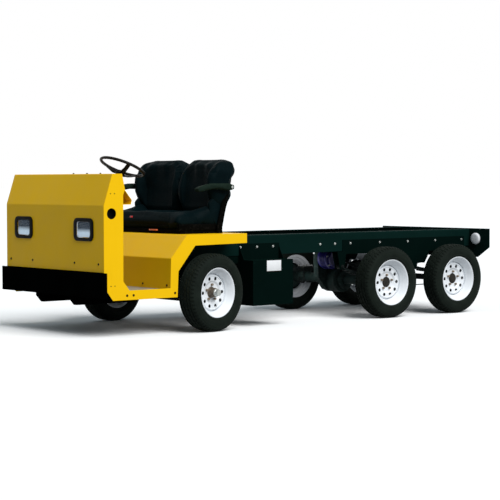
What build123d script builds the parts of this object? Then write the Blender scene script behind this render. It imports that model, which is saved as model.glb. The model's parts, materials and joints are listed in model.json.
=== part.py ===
from build123d import *
import math
import os

os.makedirs("parts", exist_ok=True)

# Burden carrier, millimetres, +Z up, +X is the front, +Y the vehicle's left.
# Every shape is drawn from the front axle line (x = 0), at heights for an axle
# AXLE_Z above the ground, and moved on export so that the tyres stand on the
# ground and the origin is under the middle of the whole vehicle.
FRONT_X = 960.0
REAR_X = -2964.0
SHIFT_X = -(FRONT_X + REAR_X) / 2

# Running gear
TYRE_R = 283.5
RIM_R = 182.0
BEAD_R = 165.0
TYRE_HALF = 83.0
RIM_HALF = 68.0
AXLE_Z = 283.5
TYRE_WALL = 15.0
MID_X = -1808.0
TAIL_X = -2567.0
FRONT_WHEEL_Y = 624.0
REAR_WHEEL_Y = 584.0
DISC_OUT = 12.0
KINGPIN_Y = 558.0
STEER_AT_REST = 10.0
PIN_GAP = 0.5
RUN_GAP = 6.0
SEAT_GAP = 0.3

# Frame
RAIL_Y = 417.0
RAIL_Z0 = 530.0
RAIL_Z1 = 683.0
RAIL_WEB = 6.0
RAIL_FLANGE = 40.0
PLATE_X = -2948.0
PLATE_T = 8.0
DECK_TOP = 638.0
DECK_T = 6.0

# Body
PANEL_Y = 645.0
PANEL_T = 5.0
SHEET = 4.0
INSIDE_Y = PANEL_Y - PANEL_T
FACE_X = 938.0
CAP_Z = 1143.5
CAP_FRONT_X = 865.5
CAP_REAR_X = 783.0
KINK_X = 759.0
KINK_Z = 1034.0
FOLD_Z = 924.0
COWL_LOW = 461.0
SILL_TOP = 331.0
SILL_LOW = 264.0
FLOOR_Z = 322.0
FLOOR_T = 6.0
SEAT_Z = 706.0
ARCH_X = TYRE_R + 24.5
COLUMN_W = 63.0
WALL_X = ARCH_X + COLUMN_W
WALL_LEAN = 6.0
BEND_Z = 542.0
SEAT_EDGE_X = 222.0
SEAT_REAR_X = -330.0
SIDES = (("left", 1), ("right", -1))


def prism_y(points, y0, y1):
    """Solid between two y values from (x, z) points."""
    face = make_face(Polyline([(x, y0, z) for x, z in points], close=True))
    return extrude(face, amount=y1 - y0, dir=(0, 1, 0))


def prism_x(points, x0, x1):
    """Solid between two x values from (y, z) points."""
    face = make_face(Polyline([(x0, y, z) for y, z in points], close=True))
    return extrude(face, amount=x1 - x0, dir=(1, 0, 0))


def prism_z(points, z0, z1):
    """Solid between two z values from (x, y) points."""
    face = make_face(Polyline([(x, y, z0) for x, y in points], close=True))
    return extrude(face, amount=z1 - z0, dir=(0, 0, 1))


def block(x0, x1, y0, y1, z0, z1):
    """Box from its six limits."""
    middle = ((x0 + x1) / 2, (y0 + y1) / 2, (z0 + z1) / 2)
    return Pos(*middle) * Box(abs(x1 - x0), abs(y1 - y0), abs(z1 - z0))


def rod(start, end, radius):
    """Round bar between two points."""
    a = Vector(*start)
    b = Vector(*end)
    span = b - a
    plane = Plane(origin=a, z_dir=span.normalized())
    return extrude(plane * Circle(radius), amount=span.length)


def ribbon(points, thick):
    """Outline of a folded sheet: the points and the same line moved to its left."""
    moved = []
    for i, (x, z) in enumerate(points):
        normals = []
        if i > 0:
            dx = x - points[i - 1][0]
            dz = z - points[i - 1][1]
            size = math.hypot(dx, dz)
            normals.append((-dz / size, dx / size))
        if i < len(points) - 1:
            dx = points[i + 1][0] - x
            dz = points[i + 1][1] - z
            size = math.hypot(dx, dz)
            normals.append((-dz / size, dx / size))
        nx = sum(n[0] for n in normals) / len(normals)
        nz = sum(n[1] for n in normals) / len(normals)
        scale = thick / (nx * nx + nz * nz)
        moved.append((x + nx * scale, z + nz * scale))
    return list(points) + moved[::-1]


def turned(points):
    """Solid of revolution about the Y axis from (radius, y) points."""
    face = make_face(Polyline([(r, w, 0) for r, w in points], close=True))
    return revolve(face, Axis.Y, 360)


def mirrored(shape, side):
    """Left-hand shape as it is, or its mirror image for the right."""
    if side > 0:
        return shape
    return mirror(shape, Plane.XZ)


def save(name, shape):
    """Move one piece to the shared origin and ride height and write it."""
    moved = Pos(SHIFT_X, 0, TYRE_R - AXLE_Z) * shape
    export_step(moved, f"parts/{name}.step")


# Side panels, one flat sheet each with the step-through opening
panel_outline = [
    (CAP_REAR_X, CAP_Z), (KINK_X, KINK_Z), (774, 997), (776, 396), (725, SILL_TOP), (WALL_X, SILL_TOP),
    (WALL_X - WALL_LEAN, BEND_Z), (SEAT_EDGE_X, SEAT_Z), (SEAT_REAR_X, SEAT_Z), (SEAT_REAR_X, 635),
    (148, 628), (ARCH_X - 9, 448), (ARCH_X, SILL_LOW), (864, SILL_LOW), (912, 327), (FACE_X, COWL_LOW),
    (FACE_X, FOLD_Z), (CAP_FRONT_X, CAP_Z),
]
HOLE_X = 873.0
HOLE_Z = 867.0
HOLE_R = 38.0
panel = prism_y(panel_outline, INSIDE_Y, PANEL_Y)
panel -= rod((HOLE_X, INSIDE_Y - 1, HOLE_Z), (HOLE_X, PANEL_Y + 1, HOLE_Z), HOLE_R)
for word, side in SIDES:
    save(f"side_panel_{word}", mirrored(panel, side))

# Cowl sheet over the front, with two lamp openings
LAMP_Y = 397.5
LAMP_Z = 754.5
LAMP_W = 170.0
LAMP_H = 112.0
BEZEL_W = 245.0
BEZEL_H = 162.0
cowl_line = [(FACE_X, COWL_LOW), (FACE_X, FOLD_Z), (CAP_FRONT_X, CAP_Z), (CAP_REAR_X, CAP_Z)]
cowl = prism_y(ribbon(cowl_line, SHEET), -INSIDE_Y, INSIDE_Y)
for word, side in SIDES:
    half_w = LAMP_W / 2 + 5
    half_h = LAMP_H / 2 + 5
    y = side * LAMP_Y
    cowl -= block(FACE_X - 10, FACE_X + 10, y - half_w, y + half_w, LAMP_Z - half_h, LAMP_Z + half_h)
save("cowl", cowl)

# Headlamps in their bezels
for word, side in SIDES:
    y = side * LAMP_Y
    rim = Plane.YZ * (RectangleRounded(BEZEL_W, BEZEL_H, 22) - RectangleRounded(LAMP_W, LAMP_H, 12))
    bezel = Pos(FACE_X, y, LAMP_Z) * extrude(rim, amount=9)
    save(f"headlamp_bezel_{word}", bezel)
    inner = Plane.YZ * RectangleRounded(LAMP_W - 2 * SEAT_GAP, LAMP_H - 2 * SEAT_GAP, 12)
    lamp = Pos(FACE_X - 50, y, LAMP_Z) * extrude(inner, amount=56)
    save(f"headlamp_{word}", lamp)

# Dash, a folded sheet across the body behind the cowl
LIP_X = 698.0
LIP_Z = 961.0
DASH_LOW = 929.0
DASH_BACK = 800.0
dash_line = [
    (CAP_REAR_X, CAP_Z), (KINK_X, KINK_Z), (LIP_X, LIP_Z), (LIP_X + 8, DASH_LOW), (DASH_BACK, DASH_LOW),
]
dash = prism_y(ribbon(dash_line, SHEET), -INSIDE_Y, INSIDE_Y)
dash -= block(LIP_X, FACE_X, -PANEL_Y, PANEL_Y, CAP_Z - SHEET, CAP_Z + SHEET)
save("dash", dash)

# Floor and the seat pedestal standing on it
save("floor", block(WALL_X - 19, FACE_X - 8, -INSIDE_Y, INSIDE_Y, FLOOR_Z - FLOOR_T, FLOOR_Z))
wall_line = [
    (WALL_X, FLOOR_Z), (WALL_X, FLOOR_Z + 8), (WALL_X - WALL_LEAN, BEND_Z), (SEAT_EDGE_X, SEAT_Z),
    (SEAT_REAR_X, SEAT_Z), (SEAT_REAR_X, SEAT_Z - 16),
]
save("seat_pedestal", prism_y(ribbon(wall_line, SHEET), -INSIDE_Y, INSIDE_Y))

# Front bumper, a channel whose web turns back a little at both ends
BUMPER_Z0 = 284.0
BUMPER_Z1 = COWL_LOW - 1
BUMPER_T = 8.0
BUMPER_END_Y = 694.0
BUMPER_BEND_Y = 640.0
BUMPER_END_X = FRONT_X - 8
FRAME_FRONT_X = FRONT_X - 20
bumper_plan = [
    (BUMPER_END_X, -BUMPER_END_Y), (FRONT_X, -BUMPER_BEND_Y), (FRONT_X, BUMPER_BEND_Y),
    (BUMPER_END_X, BUMPER_END_Y),
]
bumper = prism_z(ribbon(bumper_plan, BUMPER_T), BUMPER_Z0, BUMPER_Z1)
flange_plan = [
    (FRONT_X, -BUMPER_BEND_Y), (FRONT_X, BUMPER_BEND_Y), (FRAME_FRONT_X, BUMPER_BEND_Y),
    (FRAME_FRONT_X, -BUMPER_BEND_Y),
]
bumper += prism_z(flange_plan, BUMPER_Z0, BUMPER_Z0 + BUMPER_T)
bumper += prism_z(flange_plan, BUMPER_Z1 - BUMPER_T, BUMPER_Z1)
save("bumper", bumper)

# Front frame: two channels low under the floor that rise behind the pedestal wall
NECK_Y = 239.0
NECK_IN = 199.0
NECK_T = 6.0
NECK_LOW = 214.0
NECK_TOP = RAIL_Z0 + 65
NECK_REAR_X = 190.0
neck_rise = WALL_X - 21
neck_line = [
    (FRAME_FRONT_X, NECK_LOW + 49), (FRAME_FRONT_X - 42, NECK_LOW), (neck_rise + 50, NECK_LOW),
    (neck_rise - 88, NECK_LOW + 86), (neck_rise - 88, RAIL_Z0 + 5), (NECK_REAR_X, RAIL_Z0 + 5),
    (NECK_REAR_X, NECK_TOP), (neck_rise - 50, NECK_TOP), (neck_rise, NECK_TOP - 55),
    (neck_rise, FLOOR_Z - FLOOR_T), (FRAME_FRONT_X, FLOOR_Z - FLOOR_T),
]
neck = prism_y(neck_line, NECK_IN, NECK_Y)
inner = offset(make_face(Polyline([(x, NECK_IN, z) for x, z in neck_line], close=True)), amount=-NECK_T)
neck -= extrude(inner, amount=NECK_Y - NECK_IN - NECK_T, dir=(0, 1, 0))
front_frame = neck + mirror(neck, Plane.XZ)
cross_y = RAIL_Y - RAIL_WEB
web_y = NECK_Y - NECK_T
front_frame += block(
    NECK_REAR_X + NECK_T, NECK_REAR_X + 60, -cross_y, cross_y, RAIL_Z0 + 5 + NECK_T, NECK_TOP - NECK_T
)
front_frame += block(480, 540, -web_y, web_y, NECK_LOW + 26, NECK_LOW + 86)
front_frame += block(860, FRAME_FRONT_X - NECK_T, -web_y, web_y, NECK_LOW + 66, FLOOR_Z - FLOOR_T - NECK_T)
save("front_frame", front_frame)

# Long channel rails with the two front spring hangers welded below
SPRING_Y = 365.0
SPRING_HALF = 22.5
SPRING_REACH = 310.0
EYE_Z = AXLE_Z + 118.5
LEAF_T = 8.0
LEAF_STEP = 62.0
LEAVES = 4
EYE_BORE = 8.0
EYE_RING = 22.0
rail_front = WALL_X - 41
rail_low = RAIL_Z0 + RAIL_WEB
rail_high = RAIL_Z1 - RAIL_WEB
rail_side = [
    (PLATE_X, RAIL_Z0), (rail_front, RAIL_Z0), (rail_front, RAIL_Z0 + 36), (rail_front - 102, RAIL_Z1),
    (PLATE_X, RAIL_Z1),
]
rail_hole = [
    (PLATE_X - 1, rail_low), (rail_front - 6, rail_low), (rail_front - 6, RAIL_Z0 + 34),
    (rail_front - 105, rail_high), (PLATE_X - 1, rail_high),
]
rail = prism_y(rail_side, RAIL_Y - RAIL_FLANGE, RAIL_Y)
rail -= prism_y(rail_hole, RAIL_Y - RAIL_FLANGE - 1, RAIL_Y - RAIL_WEB)
for end in (-1, 1):
    x = end * SPRING_REACH
    for cheek_y in (SPRING_Y - SPRING_HALF - 9, SPRING_Y + SPRING_HALF + 3):
        hanger = [(x - 45, RAIL_Z0), (x - 22, EYE_Z - 22), (x + 22, EYE_Z - 22), (x + 20, RAIL_Z0)]
        if end < 0:
            hanger = [(x - 20, RAIL_Z0), (x - 22, EYE_Z - 22), (x + 22, EYE_Z - 22), (x + 45, RAIL_Z0)]
        rail += prism_y(hanger, cheek_y, cheek_y + 6)
    rail += block(x - 20, x + 20, SPRING_Y - 31.5, RAIL_Y, RAIL_Z0 - 8, RAIL_Z0)
    rail += rod((x, SPRING_Y - 34, EYE_Z), (x, SPRING_Y + 34, EYE_Z), EYE_BORE)
for word, side in SIDES:
    save(f"chassis_rail_{word}", mirrored(rail, side))

# Deck: cross channels, two stringers and the sunk plate on top
CROSS_XS = (-400, -757, -1114, -1471, -1829, -2186, -2543, -2900)
DECK_Y = RAIL_Y - RAIL_WEB
cross_top = DECK_TOP - DECK_T
deck_frame = None
for x in CROSS_XS:
    section = ribbon([(x + 25, 572), (x - 25, 572), (x - 25, cross_top), (x + 25, cross_top)], -5)
    piece = prism_y(section, -DECK_Y, DECK_Y)
    deck_frame = piece if deck_frame is None else deck_frame + piece
for y in (-150, 150):
    deck_frame += block(CROSS_XS[-1], CROSS_XS[0], y - 5, y + 5, 590, cross_top)
save("deck_frame", deck_frame)
save("deck_plate", block(PLATE_X, -340, -DECK_Y, DECK_Y, cross_top, DECK_TOP))

# Tail plate with two round lamps through it
TAIL_LAMP_Y = 493.0
TAIL_LAMP_Z = 601.0
TAIL_LAMP_R = 48.0
tail_outline = [(642, 687), (642, 530), (512, 445), (-512, 445), (-642, 530), (-642, 687)]
tail = prism_x(tail_outline, PLATE_X - PLATE_T, PLATE_X)
for word, side in SIDES:
    y = side * TAIL_LAMP_Y
    tail -= rod((PLATE_X - 20, y, TAIL_LAMP_Z), (PLATE_X + 20, y, TAIL_LAMP_Z), TAIL_LAMP_R)
    body_r = TAIL_LAMP_R - SEAT_GAP
    lamp = rod((PLATE_X - PLATE_T, y, TAIL_LAMP_Z), (PLATE_X + 22, y, TAIL_LAMP_Z), body_r)
    lamp += rod((REAR_X, y, TAIL_LAMP_Z), (PLATE_X - PLATE_T, y, TAIL_LAMP_Z), TAIL_LAMP_R + 6)
    save(f"tail_lamp_{word}", lamp)
save("tail_plate", tail)

# Boxes hung outboard under the rails, each with its bolted hanging plate
BOX_X0 = -829.0
BOX_X1 = -436.0
BOX_Y0 = 330.0
BOX_Y1 = 585.0
BOX_Z0 = 160.0
BOX_Z1 = 499.0
BOX_T = 4.0
box = block(BOX_X0, BOX_X1, BOX_Y0, BOX_Y1, BOX_Z0, BOX_Z1)
box -= block(BOX_X0 + BOX_T, BOX_X1 - BOX_T, BOX_Y0 + BOX_T, BOX_Y1 - BOX_T, BOX_Z0 + BOX_T, BOX_Z1 - BOX_T)
box += block(BOX_X0, BOX_X1, RAIL_Y, RAIL_Y + 6, BOX_Z1, 619)
for x in (BOX_X0, BOX_X1 - 6):
    gusset = [(RAIL_Y, BOX_Z1), (RAIL_Y + 60, BOX_Z1), (RAIL_Y + 20, 570), (RAIL_Y + 6, 600), (RAIL_Y, 600)]
    box += prism_x(gusset, x, x + 6)
for word, side in SIDES:
    save(f"battery_box_{word}", mirrored(box, side))


def leaf_pack(x0, mid_z, rise, longest, y0, y1):
    """Stacked spring leaves curving up to both ends, longest on top."""
    pack = None
    for k in range(LEAVES):
        reach = longest - k * LEAF_STEP
        line = []
        for step in range(-6, 7):
            x = reach * step / 6
            line.append((x0 + x, mid_z - LEAF_T * k + rise * (x / longest) ** 2))
        piece = prism_y(ribbon(line, -LEAF_T), y0, y1)
        pack = piece if pack is None else pack + piece
    return pack


# Front leaf springs on the axle beam
PAD_Z = AXLE_Z + 28.5
spring_mid = PAD_Z + LEAVES * LEAF_T
for word, side in SIDES:
    pack = leaf_pack(
        0, spring_mid, EYE_Z - spring_mid - LEAF_T, SPRING_REACH - 20, SPRING_Y - SPRING_HALF,
        SPRING_Y + SPRING_HALF,
    )
    for x in (-SPRING_REACH, SPRING_REACH):
        low = (x, SPRING_Y - SPRING_HALF, EYE_Z)
        high = (x, SPRING_Y + SPRING_HALF, EYE_Z)
        pack += rod(low, high, EYE_RING)
    for x in (-SPRING_REACH, SPRING_REACH):
        pack -= rod((x, SPRING_Y - 40, EYE_Z), (x, SPRING_Y + 40, EYE_Z), EYE_BORE + SEAT_GAP)
    save(f"front_spring_{word}", mirrored(pack, side))

# Front axle beam with an eye for each kingpin and the spring pads
EYE_LOW = AXLE_Z - 26.5
EYE_HIGH = AXLE_Z + 29.5
PIN_R = 12.0
front_axle = block(-27, 27, -KINGPIN_Y + 18, KINGPIN_Y - 18, AXLE_Z - 25, AXLE_Z + 25)
for word, side in SIDES:
    y = side * KINGPIN_Y
    front_axle += rod((0, y, EYE_LOW), (0, y, EYE_HIGH), 26)
    front_axle += block(-60, 60, side * SPRING_Y - 28, side * SPRING_Y + 28, AXLE_Z + 25, PAD_Z)
for word, side in SIDES:
    y = side * KINGPIN_Y
    front_axle -= rod((0, y, EYE_LOW - 1), (0, y, EYE_HIGH + 1), PIN_R + PIN_GAP)
save("front_axle", front_axle)

# Knuckles: fork, kingpin, brake plate, spindle and the arm for the tie rod
ARM_X = -95.0
BALL_R = 7.0
ROD_EYE_R = 15.0
SPINDLE_R = 20.0
BACK_Y = KINGPIN_Y + 52
HUB_IN = BACK_Y + 11
FRONT_NOSE = [(34, 80), (29, 82), (24, 104)]
REAR_NOSE = [(34, 10), (30, 13)]
END_GAP = 5.0
fork_low = EYE_LOW - RUN_GAP
fork_high = EYE_HIGH + RUN_GAP


def steer(shape, side):
    """Turn a straight-ahead front piece to the angle the wheels stand at."""
    return Pos(0, side * KINGPIN_Y, 0) * Rot(0, 0, STEER_AT_REST) * Pos(0, -side * KINGPIN_Y, 0) * shape


knuckle = block(-26, 26, KINGPIN_Y - 26, BACK_Y, fork_low - 16, fork_low)
knuckle += block(-26, 26, KINGPIN_Y - 26, BACK_Y, fork_high, fork_high + 16)
knuckle += block(-26, 26, KINGPIN_Y + 26 + RUN_GAP, BACK_Y, fork_low - 16, fork_high + 16)
knuckle += rod((0, KINGPIN_Y, fork_low - 22), (0, KINGPIN_Y, fork_high + 22), PIN_R)
knuckle += rod((0, BACK_Y, AXLE_Z), (0, BACK_Y + 5, AXLE_Z), 96)
knuckle += rod((0, BACK_Y, AXLE_Z), (0, FRONT_WHEEL_Y + FRONT_NOSE[0][1] - 2 - END_GAP, AXLE_Z), SPINDLE_R)
arm_plan = [
    (20, KINGPIN_Y - 20), (20, KINGPIN_Y + 20), (ARM_X, KINGPIN_Y + 14), (ARM_X - 12, KINGPIN_Y + 8),
    (ARM_X - 12, KINGPIN_Y - 8), (ARM_X, KINGPIN_Y - 14),
]
knuckle += prism_z(arm_plan, fork_low - 26, fork_low - 14)
rod_z = fork_low - 50
knuckle += rod((ARM_X, KINGPIN_Y, fork_low - 20), (ARM_X, KINGPIN_Y, rod_z - 16), BALL_R)
for word, side in SIDES:
    save(f"knuckle_{word}", steer(mirrored(knuckle, side), side))

# Tie rod between the two arms, behind and below the axle. The arms point straight
# back, so rod, arms and axle make a parallelogram and both wheels turn alike.
angle = math.radians(STEER_AT_REST)
rod_ends = []
for side in (1, -1):
    rod_ends.append((ARM_X * math.cos(angle), side * KINGPIN_Y + ARM_X * math.sin(angle)))
tie_rod = rod((*rod_ends[0], rod_z), (*rod_ends[1], rod_z), 11)
for x, y in rod_ends:
    tie_rod += rod((x, y, rod_z - 14), (x, y, rod_z + 14), ROD_EYE_R)
for x, y in rod_ends:
    tie_rod -= rod((x, y, rod_z - 20), (x, y, rod_z + 20), BALL_R + SEAT_GAP)
save("tie_rod", tie_rod)

# Wheel rims, discs, hubs and drums, drawn about the wheel's own middle
rim_line = [
    (RIM_R, -RIM_HALF), (BEAD_R, 6 - RIM_HALF), (163, 32 - RIM_HALF), (142, 42 - RIM_HALF),
    (142, RIM_HALF - 48), (163, RIM_HALF - 34), (BEAD_R, RIM_HALF - 6), (RIM_R, RIM_HALF),
]
rim_solid = turned(ribbon(rim_line, 4))
HOLES = 10
HOLE_RING = 101.0
disc_line = [(139, DISC_OUT - 14), (120, DISC_OUT), (30, DISC_OUT)]
disc = turned(ribbon(disc_line, 5))
for k in range(HOLES):
    a = 2 * math.pi * k / HOLES
    x = HOLE_RING * math.cos(a)
    z = HOLE_RING * math.sin(a)
    disc -= rod((x, DISC_OUT - 20, z), (x, DISC_OUT + 20, z), 12)


def wheel(back_gap, nose):
    """One wheel with its hub: the drum's open side, then the nose outside the disc."""
    drum = turned([(112, back_gap), (112, DISC_OUT - 5), (30, DISC_OUT - 5), (30, DISC_OUT - 13),
                   (104, DISC_OUT - 13), (104, back_gap)])
    hub = turned([(SPINDLE_R + PIN_GAP, back_gap + 6), (55, back_gap + 6), (55, DISC_OUT - 5),
                  (SPINDLE_R + PIN_GAP, DISC_OUT - 5)])
    body = rim_solid + disc + drum + hub
    cap = [(0, nose[-1][1])] + [(r, w) for r, w in nose[::-1]] + [(nose[0][0], DISC_OUT - 6)]
    cap += [(SPINDLE_R + PIN_GAP, DISC_OUT - 6), (SPINDLE_R + PIN_GAP, nose[0][1] - 2), (0, nose[0][1] - 2)]
    return body + turned(cap)


front_wheel = wheel(HUB_IN - FRONT_WHEEL_Y, FRONT_NOSE)
REAR_BACK = -20.0
rear_wheel = wheel(REAR_BACK, REAR_NOSE)
BELLY_R = 225.0
tyre_line = [
    (BEAD_R, 6 - RIM_HALF), (RIM_R, -RIM_HALF), (BELLY_R, -TYRE_HALF), (TYRE_R - 16, 9 - TYRE_HALF),
    (TYRE_R - 5, 26 - TYRE_HALF), (TYRE_R, 45 - TYRE_HALF), (TYRE_R, TYRE_HALF - 45),
    (TYRE_R - 5, TYRE_HALF - 26), (TYRE_R - 16, TYRE_HALF - 9), (BELLY_R, TYRE_HALF), (RIM_R, RIM_HALF),
    (BEAD_R, RIM_HALF - 6), (BEAD_R + 1, RIM_HALF - 20), (TYRE_R - TYRE_WALL - 4, TYRE_HALF - 29),
    (TYRE_R - TYRE_WALL - 4, 29 - TYRE_HALF), (BEAD_R + 1, 20 - RIM_HALF),
]
tyre = turned(tyre_line)
for word, side in SIDES:
    place = Pos(0, side * FRONT_WHEEL_Y, AXLE_Z)
    save(f"wheel_front_{word}", steer(place * mirrored(front_wheel, side), side))
    save(f"tyre_front_{word}", steer(place * mirrored(tyre, side), side))
    for row, x in (("mid", MID_X), ("rear", TAIL_X)):
        place = Pos(x, side * REAR_WHEEL_Y, AXLE_Z)
        save(f"wheel_{row}_{word}", place * mirrored(rear_wheel, side))
        save(f"tyre_{row}_{word}", place * mirrored(tyre, side))

# Drive axle with its gear case, and the square trailing axle
MOTOR_X = MID_X + 110
MOTOR_Z = AXLE_Z + 174.5
CASE_R = 106.0
TANDEM_Y = 395.0
TANDEM_PAD = AXLE_Z + 44.5
BRAKE_Y = REAR_WHEEL_Y + REAR_BACK - RUN_GAP
SPINDLE_END = REAR_WHEEL_Y + REAR_NOSE[0][1] - 2 - END_GAP
axle_ends = None
for side in (1, -1):
    piece = rod((0, side * (BRAKE_Y - 5), AXLE_Z), (0, side * BRAKE_Y, AXLE_Z), 96)
    piece += rod((0, side * 450, AXLE_Z), (0, side * SPINDLE_END, AXLE_Z), SPINDLE_R)
    piece += block(-55, 55, side * TANDEM_Y - 28, side * TANDEM_Y + 28, AXLE_Z, TANDEM_PAD)
    axle_ends = piece if axle_ends is None else axle_ends + piece
drive = rod((0, -BRAKE_Y, AXLE_Z), (0, BRAKE_Y, AXLE_Z), 38) + axle_ends
drive += rod((0, -95, AXLE_Z), (0, 75, AXLE_Z), CASE_R)
drive += rod((0, -125, AXLE_Z), (0, 105, AXLE_Z), 75)
case_line = [
    (-60, AXLE_Z + 46), (0, AXLE_Z + CASE_R), (60, MOTOR_Z + 42), (150, MOTOR_Z + 82),
    (185, MOTOR_Z + 12), (175, AXLE_Z + 16), (90, AXLE_Z - 84), (0, AXLE_Z - CASE_R),
]
drive += prism_y(case_line, -85, -30)
save("drive_axle", Pos(MID_X, 0, 0) * drive)
trailing = block(-22.5, 22.5, -BRAKE_Y, BRAKE_Y, AXLE_Z - 22.5, AXLE_Z + 22.5) + axle_ends
save("trailing_axle", Pos(TAIL_X, 0, 0) * trailing)

# Drive motor, a plain heavy block beside the top of the gear case
motor = rod((MOTOR_X, -30, MOTOR_Z), (MOTOR_X, 88, MOTOR_Z), 88)
motor += rod((MOTOR_X, 88, MOTOR_Z), (MOTOR_X, 108, MOTOR_Z), 72)
save("drive_motor", motor)

# Tandem springs, both packs and the rocking link of one side
LINK_X = (MID_X + TAIL_X) / 2
TANDEM_REACH = 330.0
TANDEM_EYE = AXLE_Z + 128.5
LINK_Z = TANDEM_EYE + 44
hanger_xs = (MID_X + TANDEM_REACH + 12, LINK_X, TAIL_X - TANDEM_REACH - 12)
tandem_mid = TANDEM_PAD + LEAVES * LEAF_T
tandem = None
for x in (MID_X, TAIL_X):
    pack = leaf_pack(
        x, tandem_mid, TANDEM_EYE - tandem_mid - LEAF_T, TANDEM_REACH - 10, TANDEM_Y - 22, TANDEM_Y + 22
    )
    for end in (-TANDEM_REACH, TANDEM_REACH):
        pack += rod((x + end, TANDEM_Y - 22, TANDEM_EYE), (x + end, TANDEM_Y + 22, TANDEM_EYE), 20)
    tandem = pack if tandem is None else tandem + pack
link_line = [
    (MID_X - TANDEM_REACH, LINK_Z - 60), (MID_X - TANDEM_REACH + 14, LINK_Z - 36), (LINK_X + 20, LINK_Z + 20),
    (LINK_X - 20, LINK_Z + 20), (TAIL_X + TANDEM_REACH - 14, LINK_Z - 36),
    (TAIL_X + TANDEM_REACH, LINK_Z - 60), (LINK_X, LINK_Z - 26),
]
tandem += prism_y(link_line, TANDEM_Y - 12, TANDEM_Y + 12)
for x in (hanger_xs[0] - 12, hanger_xs[2] + 12):
    tandem -= rod((x, TANDEM_Y - 40, TANDEM_EYE), (x, TANDEM_Y + 40, TANDEM_EYE), EYE_BORE + SEAT_GAP)
tandem -= rod((LINK_X, TANDEM_Y - 40, LINK_Z), (LINK_X, TANDEM_Y + 40, LINK_Z), EYE_BORE + SEAT_GAP)
for word, side in SIDES:
    save(f"tandem_spring_{word}", mirrored(tandem, side))

# Hanger plates bolted low on the rails, with three spring hangers each
hanger_x0 = TAIL_X - TANDEM_REACH + 19
hanger_x1 = MID_X + TANDEM_REACH - 10
hangers = block(hanger_x0, hanger_x1, RAIL_Y, RAIL_Y + 6, RAIL_Z0 - 20, RAIL_Z0 + 93)
for x, pin_x, pin_z in (
    (hanger_xs[0] - 12, hanger_xs[0] - 12, TANDEM_EYE), (LINK_X, LINK_X, LINK_Z),
    (hanger_xs[2] + 12, hanger_xs[2] + 12, TANDEM_EYE),
):
    for cheek_y in (TANDEM_Y - 31, TANDEM_Y + 25):
        cheek = [(x - 50, RAIL_Z0), (pin_x - 20, pin_z - 22), (pin_x + 20, pin_z - 22), (x + 50, RAIL_Z0)]
        hangers += prism_y(cheek, cheek_y, cheek_y + 6)
    hangers += rod((pin_x, TANDEM_Y - 36, pin_z), (pin_x, TANDEM_Y + 36, pin_z), EYE_BORE)
for word, side in SIDES:
    save(f"hanger_plate_{word}", mirrored(hangers, side))

# Steering wheel and column, tilted back to the driver
WHEEL_AT = (517.0, 265.0, 1195.0)
WHEEL_TILT = 24.0
WHEEL_RIM = 162.0
GRIP_R = 11.0
SHAFT_R = 10.0
steering = Torus(WHEEL_RIM, GRIP_R)
steering += Pos(0, 0, -48) * Cylinder(30, 34)
for k in range(3):
    a = math.radians(90 + 120 * k)
    low = (22 * math.cos(a), 22 * math.sin(a), -48)
    high = ((WHEEL_RIM - 2) * math.cos(a), (WHEEL_RIM - 2) * math.sin(a), -2)
    steering += rod(low, high, 8)
steering += rod((0, 0, -50), (0, 0, -105), SHAFT_R)
tilt = Pos(*WHEEL_AT) * Rot(0, -WHEEL_TILT, 0)
save("steering_wheel", tilt * steering)
drop = (WHEEL_AT[2] - FLOOR_Z) / math.cos(math.radians(WHEEL_TILT))
column = rod((0, 0, -71), (0, 0, -drop - 30), 20)
column -= rod((0, 0, -60), (0, 0, -125), SHAFT_R + SEAT_GAP)
column = tilt * column
column -= block(700, 1200, 100, 500, 100, FLOOR_Z)
column += prism_y([(612, 975), (612, 905), (640, 905), (700, 945), (694, 957)], 261, 269)
column -= prism_y([(700, 860), (698, 961), (706, 929), (800, 929), (800, 860)], 200, 300)
save("steering_column", column)

# Pedals on one foot plate
pedals = block(770, 860, 180, 400, FLOOR_Z, FLOOR_Z + 4)
for y0, y1 in ((190, 240), (320, 390)):
    pedals += prism_y([(775, 326), (790, 326), (868, 410), (858, 420), (775, 340)], y0, y1)
save("pedals", pedals)

# Seat frame with two side uprights for the armrests
FRAME_TOP = SEAT_Z + 35
seat_frame = block(-248, 150, -470, 470, SEAT_Z, FRAME_TOP)
seat_frame -= block(-244, 146, -466, 466, SEAT_Z - 1, FRAME_TOP - 4)
PIVOT_X = -262.0
PIVOT_Z = 1046.0
UPRIGHT_Y = 491.0
for word, side in SIDES:
    bar = [
        (-248, SEAT_Z), (-248, 760), (-284, 1020), (-284, 1066), (-240, 1066), (-240, 1020), (-200, 760),
        (-200, SEAT_Z),
    ]
    upright = prism_y(bar, UPRIGHT_Y, UPRIGHT_Y + 6)
    upright += block(-248, -200, 466, UPRIGHT_Y, SEAT_Z, 730)
    upright += rod((PIVOT_X, UPRIGHT_Y, PIVOT_Z), (PIVOT_X, 545, PIVOT_Z), 9)
    seat_frame += mirrored(upright, side)
save("seat_frame", seat_frame)

# Soft seat: one long cushion and two backs, each with a bolster along both sides
CUSHION_TOP = 852.0
cushion = block(-200, 195, -482, 482, FRAME_TOP + SEAT_GAP, CUSHION_TOP)
cushion = fillet(cushion.edges(), min(32, 0.3 * (CUSHION_TOP - FRAME_TOP)))
save("seat_cushion", cushion)
BACK_TOP = 1250.0
BACK_IN_Y = 12.0
BACK_OUT_Y = 485.0
BOLSTER_W = 62.0
back_side = [
    (-240, FRAME_TOP + SEAT_GAP), (-252, 829), (-322, 980), (-346, 1150), (-338, 1212), (-300, BACK_TOP),
    (-246, BACK_TOP), (-220, 1220), (-208, 1150), (-196, 1000), (-192, 900), (-204, 862),
    (-204, FRAME_TOP + SEAT_GAP),
]
bolster_side = [
    (-240, 840), (-204, 862), (-184, 885), (-140, 950), (-114, 1010), (-112, 1050), (-136, 1110),
    (-180, 1178), (-218, 1226), (-260, BACK_TOP), (-280, 1000),
]
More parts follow.
